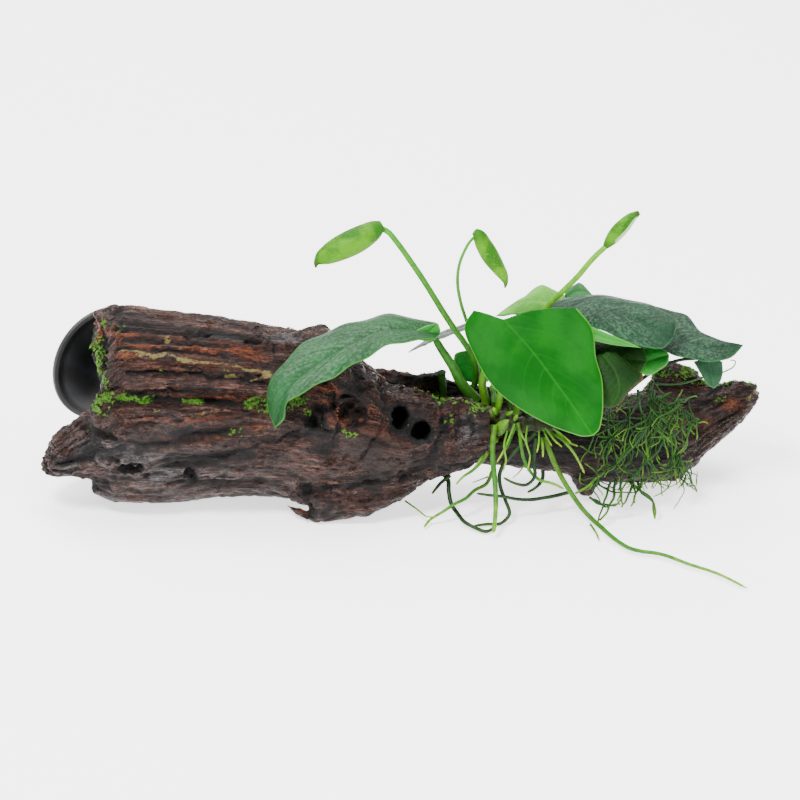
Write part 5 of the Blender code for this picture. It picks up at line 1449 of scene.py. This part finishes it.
# %% Root routes
ROOTS = [  # route, thickest radius, radius at the tip, tone
    ([(38.2, 36, 5.4), (37, 29, 2.6), (37.4, 20, -2), (38.2, 10.8, -8), (38.2, 0.6, -16),
        (37.4, -6.6, -23)], 1.2, 0.9, "root_green"),
    ([(54.4, 33.2, 1.6), (48, 27.6, 0), (43.6, 23.6, -1), (40.6, 19.4, -2), (39.8, 14, -3),
        (41.4, 8, -5), (43.9, 1.2, -8), (42.6, -2.2, -9), (37, -3, -10.2),
        (29.4, -4, -12.7)], 0.65, 0.45, "root_dark"),
    ([(15.4, 18.4, 10), (18.6, 15, 7), (20.7, 12.8, 5), (19, 8.2, 2), (21.6, 3.4, -2.4),
        (25, -1.6, -7.2), (29.4, -4.4, -13.6), (34, -6.2, -17.8),
        (38.6, -4.4, -13.8)], 0.7, 0.5, "root_dark"),
    ([(37, 18, 7), (34.6, 12.8, 4), (30.6, 10.8, 2), (28, 8, -1), (23.2, 5.6, -5),
        (18.4, 2.4, -8), (12, -1.6, -9.6), (9.6, -4.6, -14)], 0.75, 0.5, "root_green"),
    ([(20.2, 16.2, 8.6), (16.4, 13.2, 6), (12.8, 8.8, 3)], 0.6, 0.35, "root_dark"),
    ([(35, 25.2, -1.6), (30.6, 19.4, -2.6), (25, 15.4, -3),
        (22.4, 12.6, -3.4)], 0.8, 0.4, "root_green"),
    ([(67.6, 9.4, 4), (64, 8.4, 2), (57.6, 7.2, -1), (49, 6.4, -4), (42.4, 7.6, -5),
        (35, 8.4, -6), (30.6, 9, -6)], 0.6, 0.4, "root_dark"),
    ([(47.2, 37.2, 2.4), (48, 32.4, 0), (48.8, 26.4, -1), (50.6, 20.4, -2), (55.4, 14.6, -3),
        (60, 13.4, -3), (65.6, 10.8, -3)], 0.8, 0.5, "root_green"),
    ([(54.4, 31, 0), (53.6, 20.8, -2), (54, 16, -3), (50.4, 12.4, -4), (46.8, 12.8, -5),
        (41.4, 15.4, -6)], 0.6, 0.4, "root_dark"),
    ([(58, 31.6, 2), (61.8, 21.2, -1), (67.2, 11.2, -4), (74.6, 1, -9), (80, -4, -14),
        (86.4, -9.6, -24), (93.4, -13.4, -34), (104.4, -15.2, -38.6), (114.4, -18.8, -47),
        (126, -22.6, -56), (138.2, -28.5, -70)], 1.05, 0.5, "root_green"),
    ([(76.2, -3.4, -13), (78, -6, -16.4), (79.6, -9.6, -25)], 0.5, 0.35, "root_yellow"),
    ([(60, 33.4, 2), (64.8, 30.6, 0), (69.6, 25.2, -1),
        (73.9, 17, -2)], 0.6, 0.35, "root_yellow"),
    ([(62, 34.6, 3), (66.4, 30, 1.6), (71.2, 28, 0)], 0.55, 0.3, "root_yellow"),
    ([(56.6, 31.4, 1), (57.2, 27, -1.4), (57.2, 23.6, -2.6)], 0.6, 0.35, "root_yellow"),
    ([(57.2, 18.4, 4), (57.1, 15, 2), (55, 11.8, 0), (51, 9.4, -2)], 0.6, 0.35, "root_dark"),
    ([(46, 35.6, 2), (43, 28, -2), (38.8, 21.6, -4.6)], 0.6, 0.35, "root_green"),
]


def packed_wood():
    vertices, faces = [], []
    for name in WOOD_NODES:
        mesh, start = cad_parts[name].data, len(vertices)
        vertices += working([v.co for v in mesh.vertices]).tolist()
        faces += [[start + i for i in face.vertices] for face in mesh.polygons]
    return BVHTree.FromPolygons(vertices, faces)


def distance_to_route(point, route):
    start, step = route[:-1], np.diff(route, axis=0)
    along = np.clip(np.sum((point - start) * step, axis=1) / np.sum(step * step, axis=1), 0, 1)
    return np.min(np.linalg.norm(start + along[:, None] * step - point, axis=1))


def room(point, radius, wood, laid):
    hit, normal, _, distance = wood.find_nearest(Vector(point))
    outside = (Vector(point) - hit).dot(normal) > 0
    free = min((distance if outside else -distance) - radius, point[2] - FLOOR - radius)
    for route, other in laid:
        if np.min(np.linalg.norm(route - point, axis=1)) < 25:
            free = min(free, distance_to_route(point, route) - radius - other)
    return free


def eased(route, radii, wood, laid, slope=0.45):
    """The route drawn towards the eye wherever it would touch wood, floor or what is laid."""
    moved = np.zeros(len(route))
    gaps = np.linalg.norm(np.diff(route, axis=0), axis=1)
    reach = np.concatenate(([0], np.cumsum(gaps)))
    between = np.minimum(np.arange(len(route)) + 1, len(route) - 1)
    for _ in range(20):
        before = moved.copy()
        for i, j in enumerate(between):
            while moved[i] < 60:
                here = route[i] + moved[i] * TOWARDS_EYE
                there = route[j] + moved[j] * TOWARDS_EYE
                free = min(room(here, radii[i], wood, laid),
                           room((here + there) / 2, radii[i], wood, laid))
                if free >= GAP + 0.1:
                    break
                moved[i] += 0.25
                moved[j] = max(moved[j], moved[i] - slope * gaps[min(i, len(gaps) - 1)])
        spread = moved[None, :] - slope * np.abs(reach[:, None] - reach[None, :])
        moved = np.max(spread, axis=1)
        if np.allclose(before, moved):
            break
    return route + moved[:, None] * TOWARDS_EYE


DARK_SWELL = 1.35  # the dark roots are drawn thicker than their solids
wood_tree = packed_wood()
laid = [(smooth_route(grown(RHIZOME), 15), RHIZOME_RADIUS)]
for number, (points, thick, tip, tone) in enumerate(ROOTS, start=1):
    length = np.sum(np.linalg.norm(np.diff(grown(points), axis=0), axis=1))
    count = int(np.clip(round(length / 5.5) + 1, 5, 26))
    radii = thick + (tip - thick) * np.linspace(0, 1, count) ** 1.6
    route = eased(smooth_route(grown(points), count), radii, wood_tree, laid)
    laid.append((route, thick))
    fine = max(24, int(length))
    if tone == "root_dark":
        thick, tip = DARK_SWELL * thick, DARK_SWELL * tip
    share = np.linspace(0, 1, fine)
    radii = (thick + (tip - thick) * share**1.6) * (1 - 0.6 * eased_step(share, 0.965, 1.0))
    root = grow_tubes(f"root_{number:02d}_grown", [smooth_route(route, fine)], [radii],
                      tube_finishes[tone], 10, (2.2, 0.22), number)
    join_frame(root, "root", f"root_{number:02d}")
print("long roots:", len(ROOTS))

# %% [markdown]
# ## Short side roots
#
# Shorter roots come out beside the long ones: a fan of yellow-green ones below the front leaf,
# and some thin brown-green ones. They are laid by the same rule, all as one piece.

# %% Short side roots
SIDE_ROOTS = [  # points (right, up, back), thickest radius, radius at the tip
    ([(49.8, 20.4, -2), (47.6, 17.4, -3), (45, 15, -3.6)], 0.35, 0.2),
    ([(45.8, 36.8, 1), (43.6, 31, -1), (41.4, 26, -3), (38.8, 21.6, -5)], 0.5, 0.3),
    ([(48, 34, 0), (49.2, 31.4, -1.6), (50.2, 29.8, -2.6)], 0.5, 0.3),
    ([(35.2, 15.6, 4), (32, 14.4, 2), (28.8, 13.2, 0)], 0.35, 0.2),
    ([(2, 6, 2), (6.6, 2.8, -2), (11.2, -0.4, -6), (14.4, 0, -8)], 0.4, 0.3),
    ([(57.2, 35, 1), (59, 31, -0.6), (60.8, 28, -2)], 0.45, 0.3),
    ([(58, 35.2, 1.4), (61.4, 31, -0.4), (64.8, 27.6, -1.8)], 0.45, 0.3),
    ([(59.2, 34.4, 1.4), (61.2, 31, -0.4), (63.2, 28.8, -1.6)], 0.42, 0.3),
    ([(61.2, 35, 2), (65, 32.4, 0.8), (68.4, 29.4, -0.6)], 0.45, 0.3),
    ([(55.6, 34.4, 0.6), (55.6, 30, -1.6), (54.8, 25.4, -3.6)], 0.4, 0.3),
    ([(51, 36, 1), (50.4, 30, -2), (52, 24, -4), (51, 18, -5)], 0.45, 0.3),
    ([(63.4, 36, 2), (68, 34, 0.4), (72, 33.4, -1)], 0.4, 0.25),
    ([(43, 34, 2), (41.6, 28, -1), (42.4, 22, -3), (41.2, 17.6, -4.4)], 0.45, 0.3),
    ([(33, 24, 2), (31, 21, 0.6), (29.6, 19.6, 0)], 0.4, 0.25),
]
COARSE, FINE = 9, 26  # points of a route while it is laid, and when it is drawn
side_routes, side_radii = [], []
for points, thick, tip in SIDE_ROOTS:
    radii = np.linspace(thick, tip, COARSE)
    route = eased(smooth_route(grown(points), COARSE), radii, wood_tree, laid)
    laid.append((route, thick))
    side_routes.append(smooth_route(route, FINE))
    pointed = 1 - 0.5 * eased_step(np.linspace(0, 1, FINE), 0.9, 1)
    side_radii.append(np.linspace(thick, tip, FINE) * pointed)
side_roots = grow_tubes("side_roots", side_routes, side_radii, tube_finishes["root_yellow"], 8,
                        (2.0, 0.14), 21)
join_frame(side_roots, "root")
print("side roots:", len(side_routes))

# %% [markdown]
# ## The net of fine roots
#
# In front of the right limb hangs a net of fine roots, half a millimetre to two thick. Its main
# strands have known places in the picture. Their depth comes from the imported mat, whose rows of
# points are blended by nearness, so the net lies on the form that stands for it. From the strands
# grow many seeded side hairs. All of them are lines of edges in one mesh, and the tube tree
# gives them their skin.

# %% Depth of the net
MAT_ROWS = [  # places (right, up, back)
    [(79, 36.4, 5.4), (86, 41, 8.6), (93, 45.5, 12), (101, 49.5, 17), (109, 49.5, 21)],
    [(79, 29.5, 4), (86, 33, 6.5), (94, 36.5, 9.5), (102, 40, 14), (111, 40, 18)],
    [(78, 21.5, 3), (86, 23.5, 5), (94, 26, 8.5), (103, 29, 12.5), (112, 29, 16)],
    [(76, 13, 0), (85, 13.5, 1.5), (94, 15, 5), (104, 17.5, 8.5), (113, 18, 12)],
    [(76, 4, -4.5), (84, 4.5, -3.5), (93, 5, -1), (102, 6.5, 1.5), (111, 9.5, 6)],
    [(79, -1.4, -8.6), (85, -1.4, -8.4), (91, -0.8, -7.4), (97, 0.2, -5.2), (102, 1.2, -3.2)],
]
mat_points = np.array([point for row in MAT_ROWS for point in row], float)


def mat_depth(right, up):
    away = (mat_points[:, 0] - right) ** 2 + (mat_points[:, 1] - up) ** 2 + 4.0
    weight = away**-2.0
    return float(np.sum(mat_points[:, 2] * weight) / np.sum(weight))


def strand(points, count, lift, wobble, seed):
    """A strand through picture places, a little in front of the mat."""
    flat = smooth_route([(right, up, 0.0) for right, up in points], count)
    share = np.linspace(0, 1, count)
    route = []
    for t, (right, up, _) in zip(share, flat):
        right += wobble * noise.noise((4 * t, seed, 0.3))
        up += wobble * noise.noise((4 * t, seed, 7.3))
        out = lift + 1.2 * noise.noise((3 * t, seed, 3.9))
        point = seen(right, up, mat_depth(right, up)) + TOWARDS_EYE * (2.2 + out)
        point[2] = max(point[2], FLOOR + 0.3)
        route.append(point)
    return np.array(route)


# %% Main strands and side hairs
STRANDS = [  # radius, points (right, up)
    (0.42, [(100.8, 51.6), (100.4, 45.2), (100, 38), (99.6, 34.8)]),
    (0.6, [(99.6, 36.4), (94.4, 29.6), (89.6, 23.8), (83.6, 18.6), (78.4, 15.2), (74.8, 12),
        (70.4, 9.2)]),
    (0.36, [(101.2, 40.4), (105.6, 34.8), (108.7, 30), (109.6, 24.8), (110, 19.6), (111.2, 12)]),
    (0.32, [(85.6, 14.8), (82, 7), (79.2, -2.8)]), (0.32, [(88.3, 14.8), (89.2, 4)]),
    (0.34, [(91.6, 15.2), (96, 10.4), (101.2, 5.6), (102, -1)]),
    (0.3, [(77, 6.8), (81.4, 4.4), (85.6, 4), (88.8, 6.8)]),
    (0.3, [(96.8, 14.8), (95.2, 10), (93.6, 4.8)]), (0.28, [(112, 15.2), (119, 9.6)]),
    (0.32, [(82.6, 42), (84, 32), (84.8, 25.6)]), (0.26, [(101.2, 46), (108.7, 49.4)]),
    (0.26, [(107.4, 40.4), (113, 46.4)]), (0.3, [(101.6, 43.2), (106, 39), (111.2, 35.2)]),
    (0.24, [(113.6, 42.4), (120, 38.4)]), (0.34, [(97, 48), (92, 40), (86, 33), (82, 27)]),
    (0.34, [(103, 48), (104, 40), (101, 31), (98, 22), (97, 14)]),
    (0.3, [(92, 36), (95, 28), (100, 22), (104, 15), (105, 8)]),
    (0.3, [(106, 30), (102, 24), (96, 19), (90, 12), (87, 6)]),
    (0.28, [(84, 24), (88, 19), (94, 16), (101, 14), (108, 12)]),
    (0.28, [(109, 26), (113, 21), (115, 16)]), (0.26, [(80, 20), (79, 14), (81, 8)]),
    (0.44, [(100.8, 50), (101, 45), (99.4, 38), (98.6, 31), (100, 22.4)]),
    (0.4, [(95.2, 50.4), (97, 42), (100, 37.6), (106.4, 31.2), (110.4, 28)]),
    (0.4, [(102, 50), (102.4, 42.4), (107, 36), (110.4, 29.6), (109.6, 22.4), (111.2, 16)]),
    (0.46, [(97, 34), (90.4, 26.4), (85.6, 20), (79.2, 15.2), (76, 11.2)]),
    (0.36, [(76, 34.4), (80.8, 32), (89.6, 30.8)]), (0.34, [(84, 45.6), (85.6, 36), (88, 31.2)]),
    (0.34, [(90.4, 50.4), (92, 39.2), (89, 30)]),
    (0.3, [(113.6, 42.4), (116, 39.2), (123.2, 36.8)]),
    (0.28, [(107.2, 42.4), (110.4, 45.6), (116, 47.6)]), (0.32, [(101, 46), (108, 49.2)]),
    (0.36, [(86.4, 14.4), (84, 4), (80, -1.6)]), (0.32, [(93.6, 13.6), (88.8, 3.2)]),
    (0.34, [(95.2, 13.6), (96, 10.4), (101.6, 4.8), (102, -0.8)]),
    (0.32, [(111.2, 26.4), (114.4, 20), (119.2, 9.2)]),
    (0.3, [(76, 7.2), (82.4, 3.6), (88, 4.8)]), (0.28, [(92, 14), (94.4, 8), (92.8, 3.6)]),
    (0.3, [(111.2, 21.6), (117.6, 22.4)]),
]
STRAND_POINTS, HAIR_POINTS = 30, 12
SWELL, LOW_SWELL = 1.4, 1.9  # strands are thicker than measured, those that end low most
LOW_END = 8
strand_routes = [strand(points, STRAND_POINTS, 0.8, 0.9, 3.0 * k)
                 for k, (_, points) in enumerate(STRANDS)]
strand_radii = [(LOW_SWELL if points[-1][1] < LOW_END else SWELL) * radius
                * np.linspace(1, 0.6, STRAND_POINTS) for radius, points in STRANDS]

HAIRS = 200
HAIR_SIDES = (72, 119)  # how far left and right a hair may reach
HAIR_START = 13  # no hair leaves its strand below this height
rng = np.random.default_rng(24)
for k in range(HAIRS):
    parent = STRANDS[int(rng.integers(0, len(STRANDS)))][1]
    flat = smooth_route([(right, up, 0.0) for right, up in parent], 20)
    start = flat[int(rng.integers(2, 19))]
    if start[1] < HAIR_START:
        continue
    heading = -pi / 2 + rng.normal(-0.3, 0.75)
    length = rng.uniform(8, 20)
    lowest = 10.0 if rng.uniform() < 0.8 else 1.0
    points = [(start[0], start[1])]
    for _ in range(4):
        right = points[-1][0] + cos(heading) * length / 4
        up = points[-1][1] + sin(heading) * length / 4
        if up < lowest and len(points) > 1:
            break
        points.append((float(np.clip(right, *HAIR_SIDES)), float(max(up, 0.0))))
        heading += rng.normal(0, 0.45)
    strand_routes.append(strand(points, HAIR_POINTS, rng.uniform(-0.8, 2.2), 0.5, 100.0 + k))
    strand_radii.append(rng.uniform(0.24, 0.46) * np.linspace(1, 0.6, HAIR_POINTS))

CURLED_HAIR = [(101.5, 53, 14), (107, 52.6, 16), (113, 53, 18), (119, 54.6, 20),
               (125, 56.4, 22), (130.6, 58, 23.6), (134, 60.2, 24.4), (134.4, 62, 24.4),
               (132.4, 62.4, 24)]
strand_routes.append(smooth_route(grown(CURLED_HAIR), 50))
strand_radii.append(np.linspace(0.42, 0.26, 50))

fine_roots = grow_tubes("fine_root_net", strand_routes, strand_radii,
                        tube_finishes["fine_root"], 6, (1.5, 0.12), 40)
join_frame(fine_roots, "fine_root", "fine_root_mat")
print("net of fine roots:", len(strand_routes), "strands,", len(fine_roots.data.polygons), "faces")

# %% [markdown]
# ## Moss
#
# Moss grows as tiny tufts, each a few pointed leaves. One tuft of thin three-sided blades is
# made once, and a Geometry Nodes tree scatters it over the wood, densely where the moss mark is
# strong and not at all elsewhere. Every tuft is turned and scaled by the tree's own seed. The
# tree works on a copy of the skin that has only the mossy faces, which keeps it quick.

# %% One tuft
TUFT_BLADES = 5
TUFTS_PER_SQUARE_METRE = 2.6e6  # where the moss mark is full
MOSSY_FROM = 0.12  # a face with less moss on all its corners stays bare


def moss_tuft():
    tuft_rng = np.random.default_rng(5)
    vertices, faces, heights = [], [], []
    for k in range(TUFT_BLADES):
        turn = 2 * pi * k / TUFT_BLADES + tuft_rng.uniform(-0.4, 0.4)
        lean, long = tuft_rng.uniform(0.35, 1.0), tuft_rng.uniform(0.7, 1.15)
        out = np.array((cos(turn), sin(turn), 0))
        flat = np.array((-sin(turn), cos(turn), 0))
        rings = []
        for t, wide in ((0.0, 0.13), (0.5, 0.12), (1.0, 0.015)):
            rise = long * (t - 0.35 * lean * t * t)
            middle = out * lean * long * t**1.4 + np.array((0, 0, rise))
            rings.append(len(vertices))
            for corner in (flat * wide, out * wide * 0.6 - flat * wide,
                           -out * wide * 0.6 - flat * wide):
                vertices.append(middle + corner)
                heights.append(t)
        for a, b in zip(rings[:-1], rings[1:]):
            for c in range(3):
                d = (c + 1) % 3
                faces.append((a + c, a + d, b + d, b + c))
        faces.append((rings[0] + 2, rings[0] + 1, rings[0]))
        faces.append((rings[2], rings[2] + 1, rings[2] + 2))
    mesh = bpy.data.meshes.new("moss_tuft")
    mesh.from_pydata([tuple(np.array(v) * MM) for v in vertices], [], faces)
    obj = linked("moss_tuft", mesh)
    mark(obj, "tuft_height", heights)
    return obj


# %% The moss tree
def moss_tree():
    tree = new_tree("moss_scatter", {"Density": "Float", "Smallest": "Float", "Largest": "Float",
                                     "Seed": "Int", "Tuft": "Object", "Material": "Material"})
    graph = TreeGraph(tree)
    cover = graph.named("moss")
    wanted = graph.given("Density") * (cover ** 1.6)
    spread = graph.tree.nodes.new("GeometryNodeDistributePointsOnFaces")
    for wire, socket in ((graph.given("Geometry"), "Mesh"), (wanted, "Density"),
                         (graph.given("Seed"), "Seed")):
        target = next(s for s in spread.inputs if s.name == socket and s.enabled)
        tree.links.new(wire.socket, target)
    tuft = graph.node("GeometryNodeObjectInfo", {"transform_space": "ORIGINAL"},
                      {"Object": graph.given("Tuft"), "As Instance": True}, "Geometry")
    size = graph.node("FunctionNodeRandomValue", {"data_type": "FLOAT"},
                      {"Min_001": graph.given("Smallest"), "Max_001": graph.given("Largest"),
                       "Seed": graph.given("Seed")}, "Value_001")
    grown_on = graph.node("GeometryNodeInstanceOnPoints", None, {
        "Points": Wire(graph, spread.outputs["Points"]), "Instance": tuft,
        "Rotation": Wire(graph, spread.outputs["Rotation"]), "Scale": size})
    turn = graph.node("FunctionNodeRandomValue", {"data_type": "FLOAT_VECTOR"},
                      {"Min": (-0.5, -0.5, 0.0), "Max": (0.5, 0.5, 2 * pi)}, "Value")
    grown_on = graph.node("GeometryNodeRotateInstances", None,
                          {"Instances": grown_on, "Rotation": turn})
    finish_tree(graph, grown_on, graph.given("Material"))
    return tree


def paint_moss(graph):
    height, spot = graph.attribute("tuft_height"), graph.here()
    mottle = graph.cloud(spot, 0.25, 3.0)
    colour = graph.blend((0.01, 0.04, 0.002), (0.085, 0.26, 0.005), height.step(0.0, 0.9))
    colour = graph.blend(colour, (0.12, 0.2, 0.008), mottle.step(0.5, 0.66) * 0.5)
    return {"Base Color": colour, "Roughness": 0.55 + mottle * 0.2}


moss_finish = finish_of("moss", paint_moss)
moss_bed = driftwood.copy()
moss_bed.data = driftwood.data.copy()
moss_bed.name = "moss_tufts"
bpy.context.scene.collection.objects.link(moss_bed)
bed = bmesh.new()
bed.from_mesh(moss_bed.data)
bare = [face for face in bed.faces
        if max(moss_cover[v.index] for v in face.verts) < MOSSY_FROM]
bmesh.ops.delete(bed, geom=bare, context="FACES")
bed.to_mesh(moss_bed.data)
bed.free()
moss_bed.data.materials.clear()
tuft = moss_tuft()
run_tree(moss_bed, moss_tree(), Density=TUFTS_PER_SQUARE_METRE, Smallest=0.55, Largest=1.25,
         Seed=11, Tuft=tuft, Material=moss_finish)
moss_bed.parent = None
bpy.data.objects.remove(tuft, do_unlink=True)
join_frame(moss_bed, "moss", "moss_broken_end", "moss_groove", "moss_mound")
print("moss:", len(moss_bed.data.polygons), "faces")

# %% [markdown]
# ## The suction cup
#
# The cup is turned rubber, so its section is spun round its axis, with many more steps than in the
# imported solid and with rounded edges. It is drawn a millimetre and a half wider than the solid on
# each side, as its outline in the photograph is. A thin lighter ring on its rim is a painted
# highlight.

# %% Suction cup
CUP_RADIUS = 24.2
CUP_CENTRE = (-118.9, 61.4, 39.6)
CUP_TURN = radians(30)
CUP_STEPS = 128
CUP_SECTION = [  # radius and height over the sealing plane
    (0, -3.4), (8, -3.1), (15, -2.0), (19.6, -0.25), (20.2, -0.02), (20.8, 0),
    (CUP_RADIUS - 0.35, 0), (CUP_RADIUS - 0.1, -0.1), (CUP_RADIUS, -0.35), (CUP_RADIUS, -1.35),
    (CUP_RADIUS - 0.12, -1.62), (CUP_RADIUS - 0.5, -1.8), (21.6, -2.0), (19.8, -2.7),
    (17.5, -3.9), (14, -5.0), (10, -6.0), (8, -6.7),
    (6.8, -7.4), (6.2, -8.2), (6.0, -9.0), (6.0, -12.6), (5.6, -13), (0, -13),
]


def turned_cup():
    shape = bmesh.new()
    line = [shape.verts.new((r * MM, 0, z * MM)) for r, z in CUP_SECTION]
    for a, b in zip(line[:-1], line[1:]):
        shape.edges.new((a, b))
    bmesh.ops.spin(shape, geom=shape.verts[:] + shape.edges[:], axis=(0, 0, 1), cent=(0, 0, 0),
                   steps=CUP_STEPS, angle=2 * pi, use_duplicate=False)
    bmesh.ops.remove_doubles(shape, verts=shape.verts, dist=1e-6)
    bmesh.ops.recalc_face_normals(shape, faces=shape.faces)
    across = [vertex.co.xy.length / MM for vertex in shape.verts]
    axis = Vector((-sin(CUP_TURN), cos(CUP_TURN), 0))
    turn = axis.to_track_quat("Z", "Y").to_matrix().to_4x4()
    bmesh.ops.transform(shape, matrix=Matrix.Translation(place(CUP_CENTRE)) @ turn,
                        verts=shape.verts)
    mesh = bpy.data.meshes.new("suction_cup_turned")
    shape.to_mesh(mesh)
    shape.free()
    mesh.shade_smooth()
    obj = linked("suction_cup_turned", mesh)
    mark(obj, "across", across)
    return obj


def paint_rubber(graph):
    across, spot = graph.attribute("across"), graph.here()
    grain = graph.cloud(spot, 0.8, 4.0)
    dust = graph.cloud(spot, 0.12, 5.0, 0.6)
    colour = graph.blend((0.0012, 0.0013, 0.0016), (0.004, 0.0044, 0.006), dust.step(0.45, 0.7))
    # Painted highlight: a thin lighter ring on the rim.
    rim = across.step(22.2, 22.75)
    colour = graph.blend(colour, (0.026, 0.027, 0.025), rim * 0.8)
    return {"Base Color": colour, "Roughness": 0.26 + dust * 0.2 + rim * 0.1,
            "Normal": graph.bump(grain, 0.05, 0.3)}


cup = turned_cup()
cup.data.materials.append(finish_of("rubber", paint_rubber, Specular_IOR_Level=0.35))
join_frame(cup, "rubber", "suction_cup")
print("suction cup:", len(cup.data.polygons), "faces")

# %% [markdown]
# ## Floor, light and camera
#
# The photograph is a cut-out on white, seen from a little above. A pale floor, a bright even sky
# and soft lamps come close to it. The floor glows a little, as a lit table does, which
# keeps its shadows faint. A long lens ten metres off keeps the picture nearly free of perspective.

# %% Floor
FLOOR_REACH, FLOOR_DROP = 12.0, 0.0004
floor_corners = [(right * FLOOR_REACH, back * FLOOR_REACH, 0)
                 for right, back in ((-1, -1), (1, -1), (1, 1), (-1, 1))]
floor_mesh = bpy.data.meshes.new("studio_floor")
floor_mesh.from_pydata(floor_corners, [], [(0, 1, 2, 3)])
studio_floor = linked("studio_floor", floor_mesh)
studio_floor.location.z = -FLOOR_DROP
floor_mesh.materials.append(finish_of("studio_floor", lambda graph: {},
                                      Base_Color=(0.92, 0.92, 0.92, 1), Roughness=0.9,
                                      Specular_IOR_Level=0.1, Emission_Strength=1.5,
                                      Emission_Color=(1.0, 1.0, 1.0, 1)))

# %% Light
sky = bpy.data.worlds.new("studio_sky")
sky.use_nodes = True
sky.node_tree.nodes["Background"].inputs["Color"].default_value = (1.0, 1.0, 1.0, 1)
sky.node_tree.nodes["Background"].inputs["Strength"].default_value = 0.6
bpy.context.scene.world = sky

LAMPS = [  # name, place, width and height in metres, power in watts
    ("key", (-0.45, -0.7, 1.25), 0.36, 0.36, 40.0),
    ("fill", (0.95, -0.85, 0.75), 0.9, 0.9, 14.0),
    ("top", (0.05, 0.25, 1.45), 1.4, 1.0, 34.0),
    ("back", (-0.35, 1.15, 0.85), 1.1, 0.6, 16.0),
]
LAMP_AIM = Vector((0.0, 0.0, 0.05))
for title, spot, wide, high, power in LAMPS:
    lamp = bpy.data.lights.new(f"lamp_{title}", "AREA")
    lamp.shape, lamp.size, lamp.size_y, lamp.energy = "RECTANGLE", wide, high, power
    holder = linked(f"lamp_{title}", lamp)
    holder.location = spot
    holder.rotation_euler = (LAMP_AIM - Vector(spot)).to_track_quat("-Z", "Y").to_euler()

# %% Camera
EYE_DISTANCE = 10.0
PICTURE_WIDTH = 0.32
PICTURE_MIDDLE_UP = 46.4
lens = bpy.data.cameras.new("eye")
lens.type, lens.sensor_width = "PERSP", 36.0
lens.lens = lens.sensor_width * EYE_DISTANCE / PICTURE_WIDTH
lens.clip_end = 30.0
eye = linked("eye", lens)
target = Vector(place(seen(0, PICTURE_MIDDLE_UP, 0)))
eye.location = target + Vector(TOWARDS_EYE) * EYE_DISTANCE
eye.rotation_euler = (target - eye.location).to_track_quat("-Z", "Y").to_euler()
bpy.context.scene.camera = eye
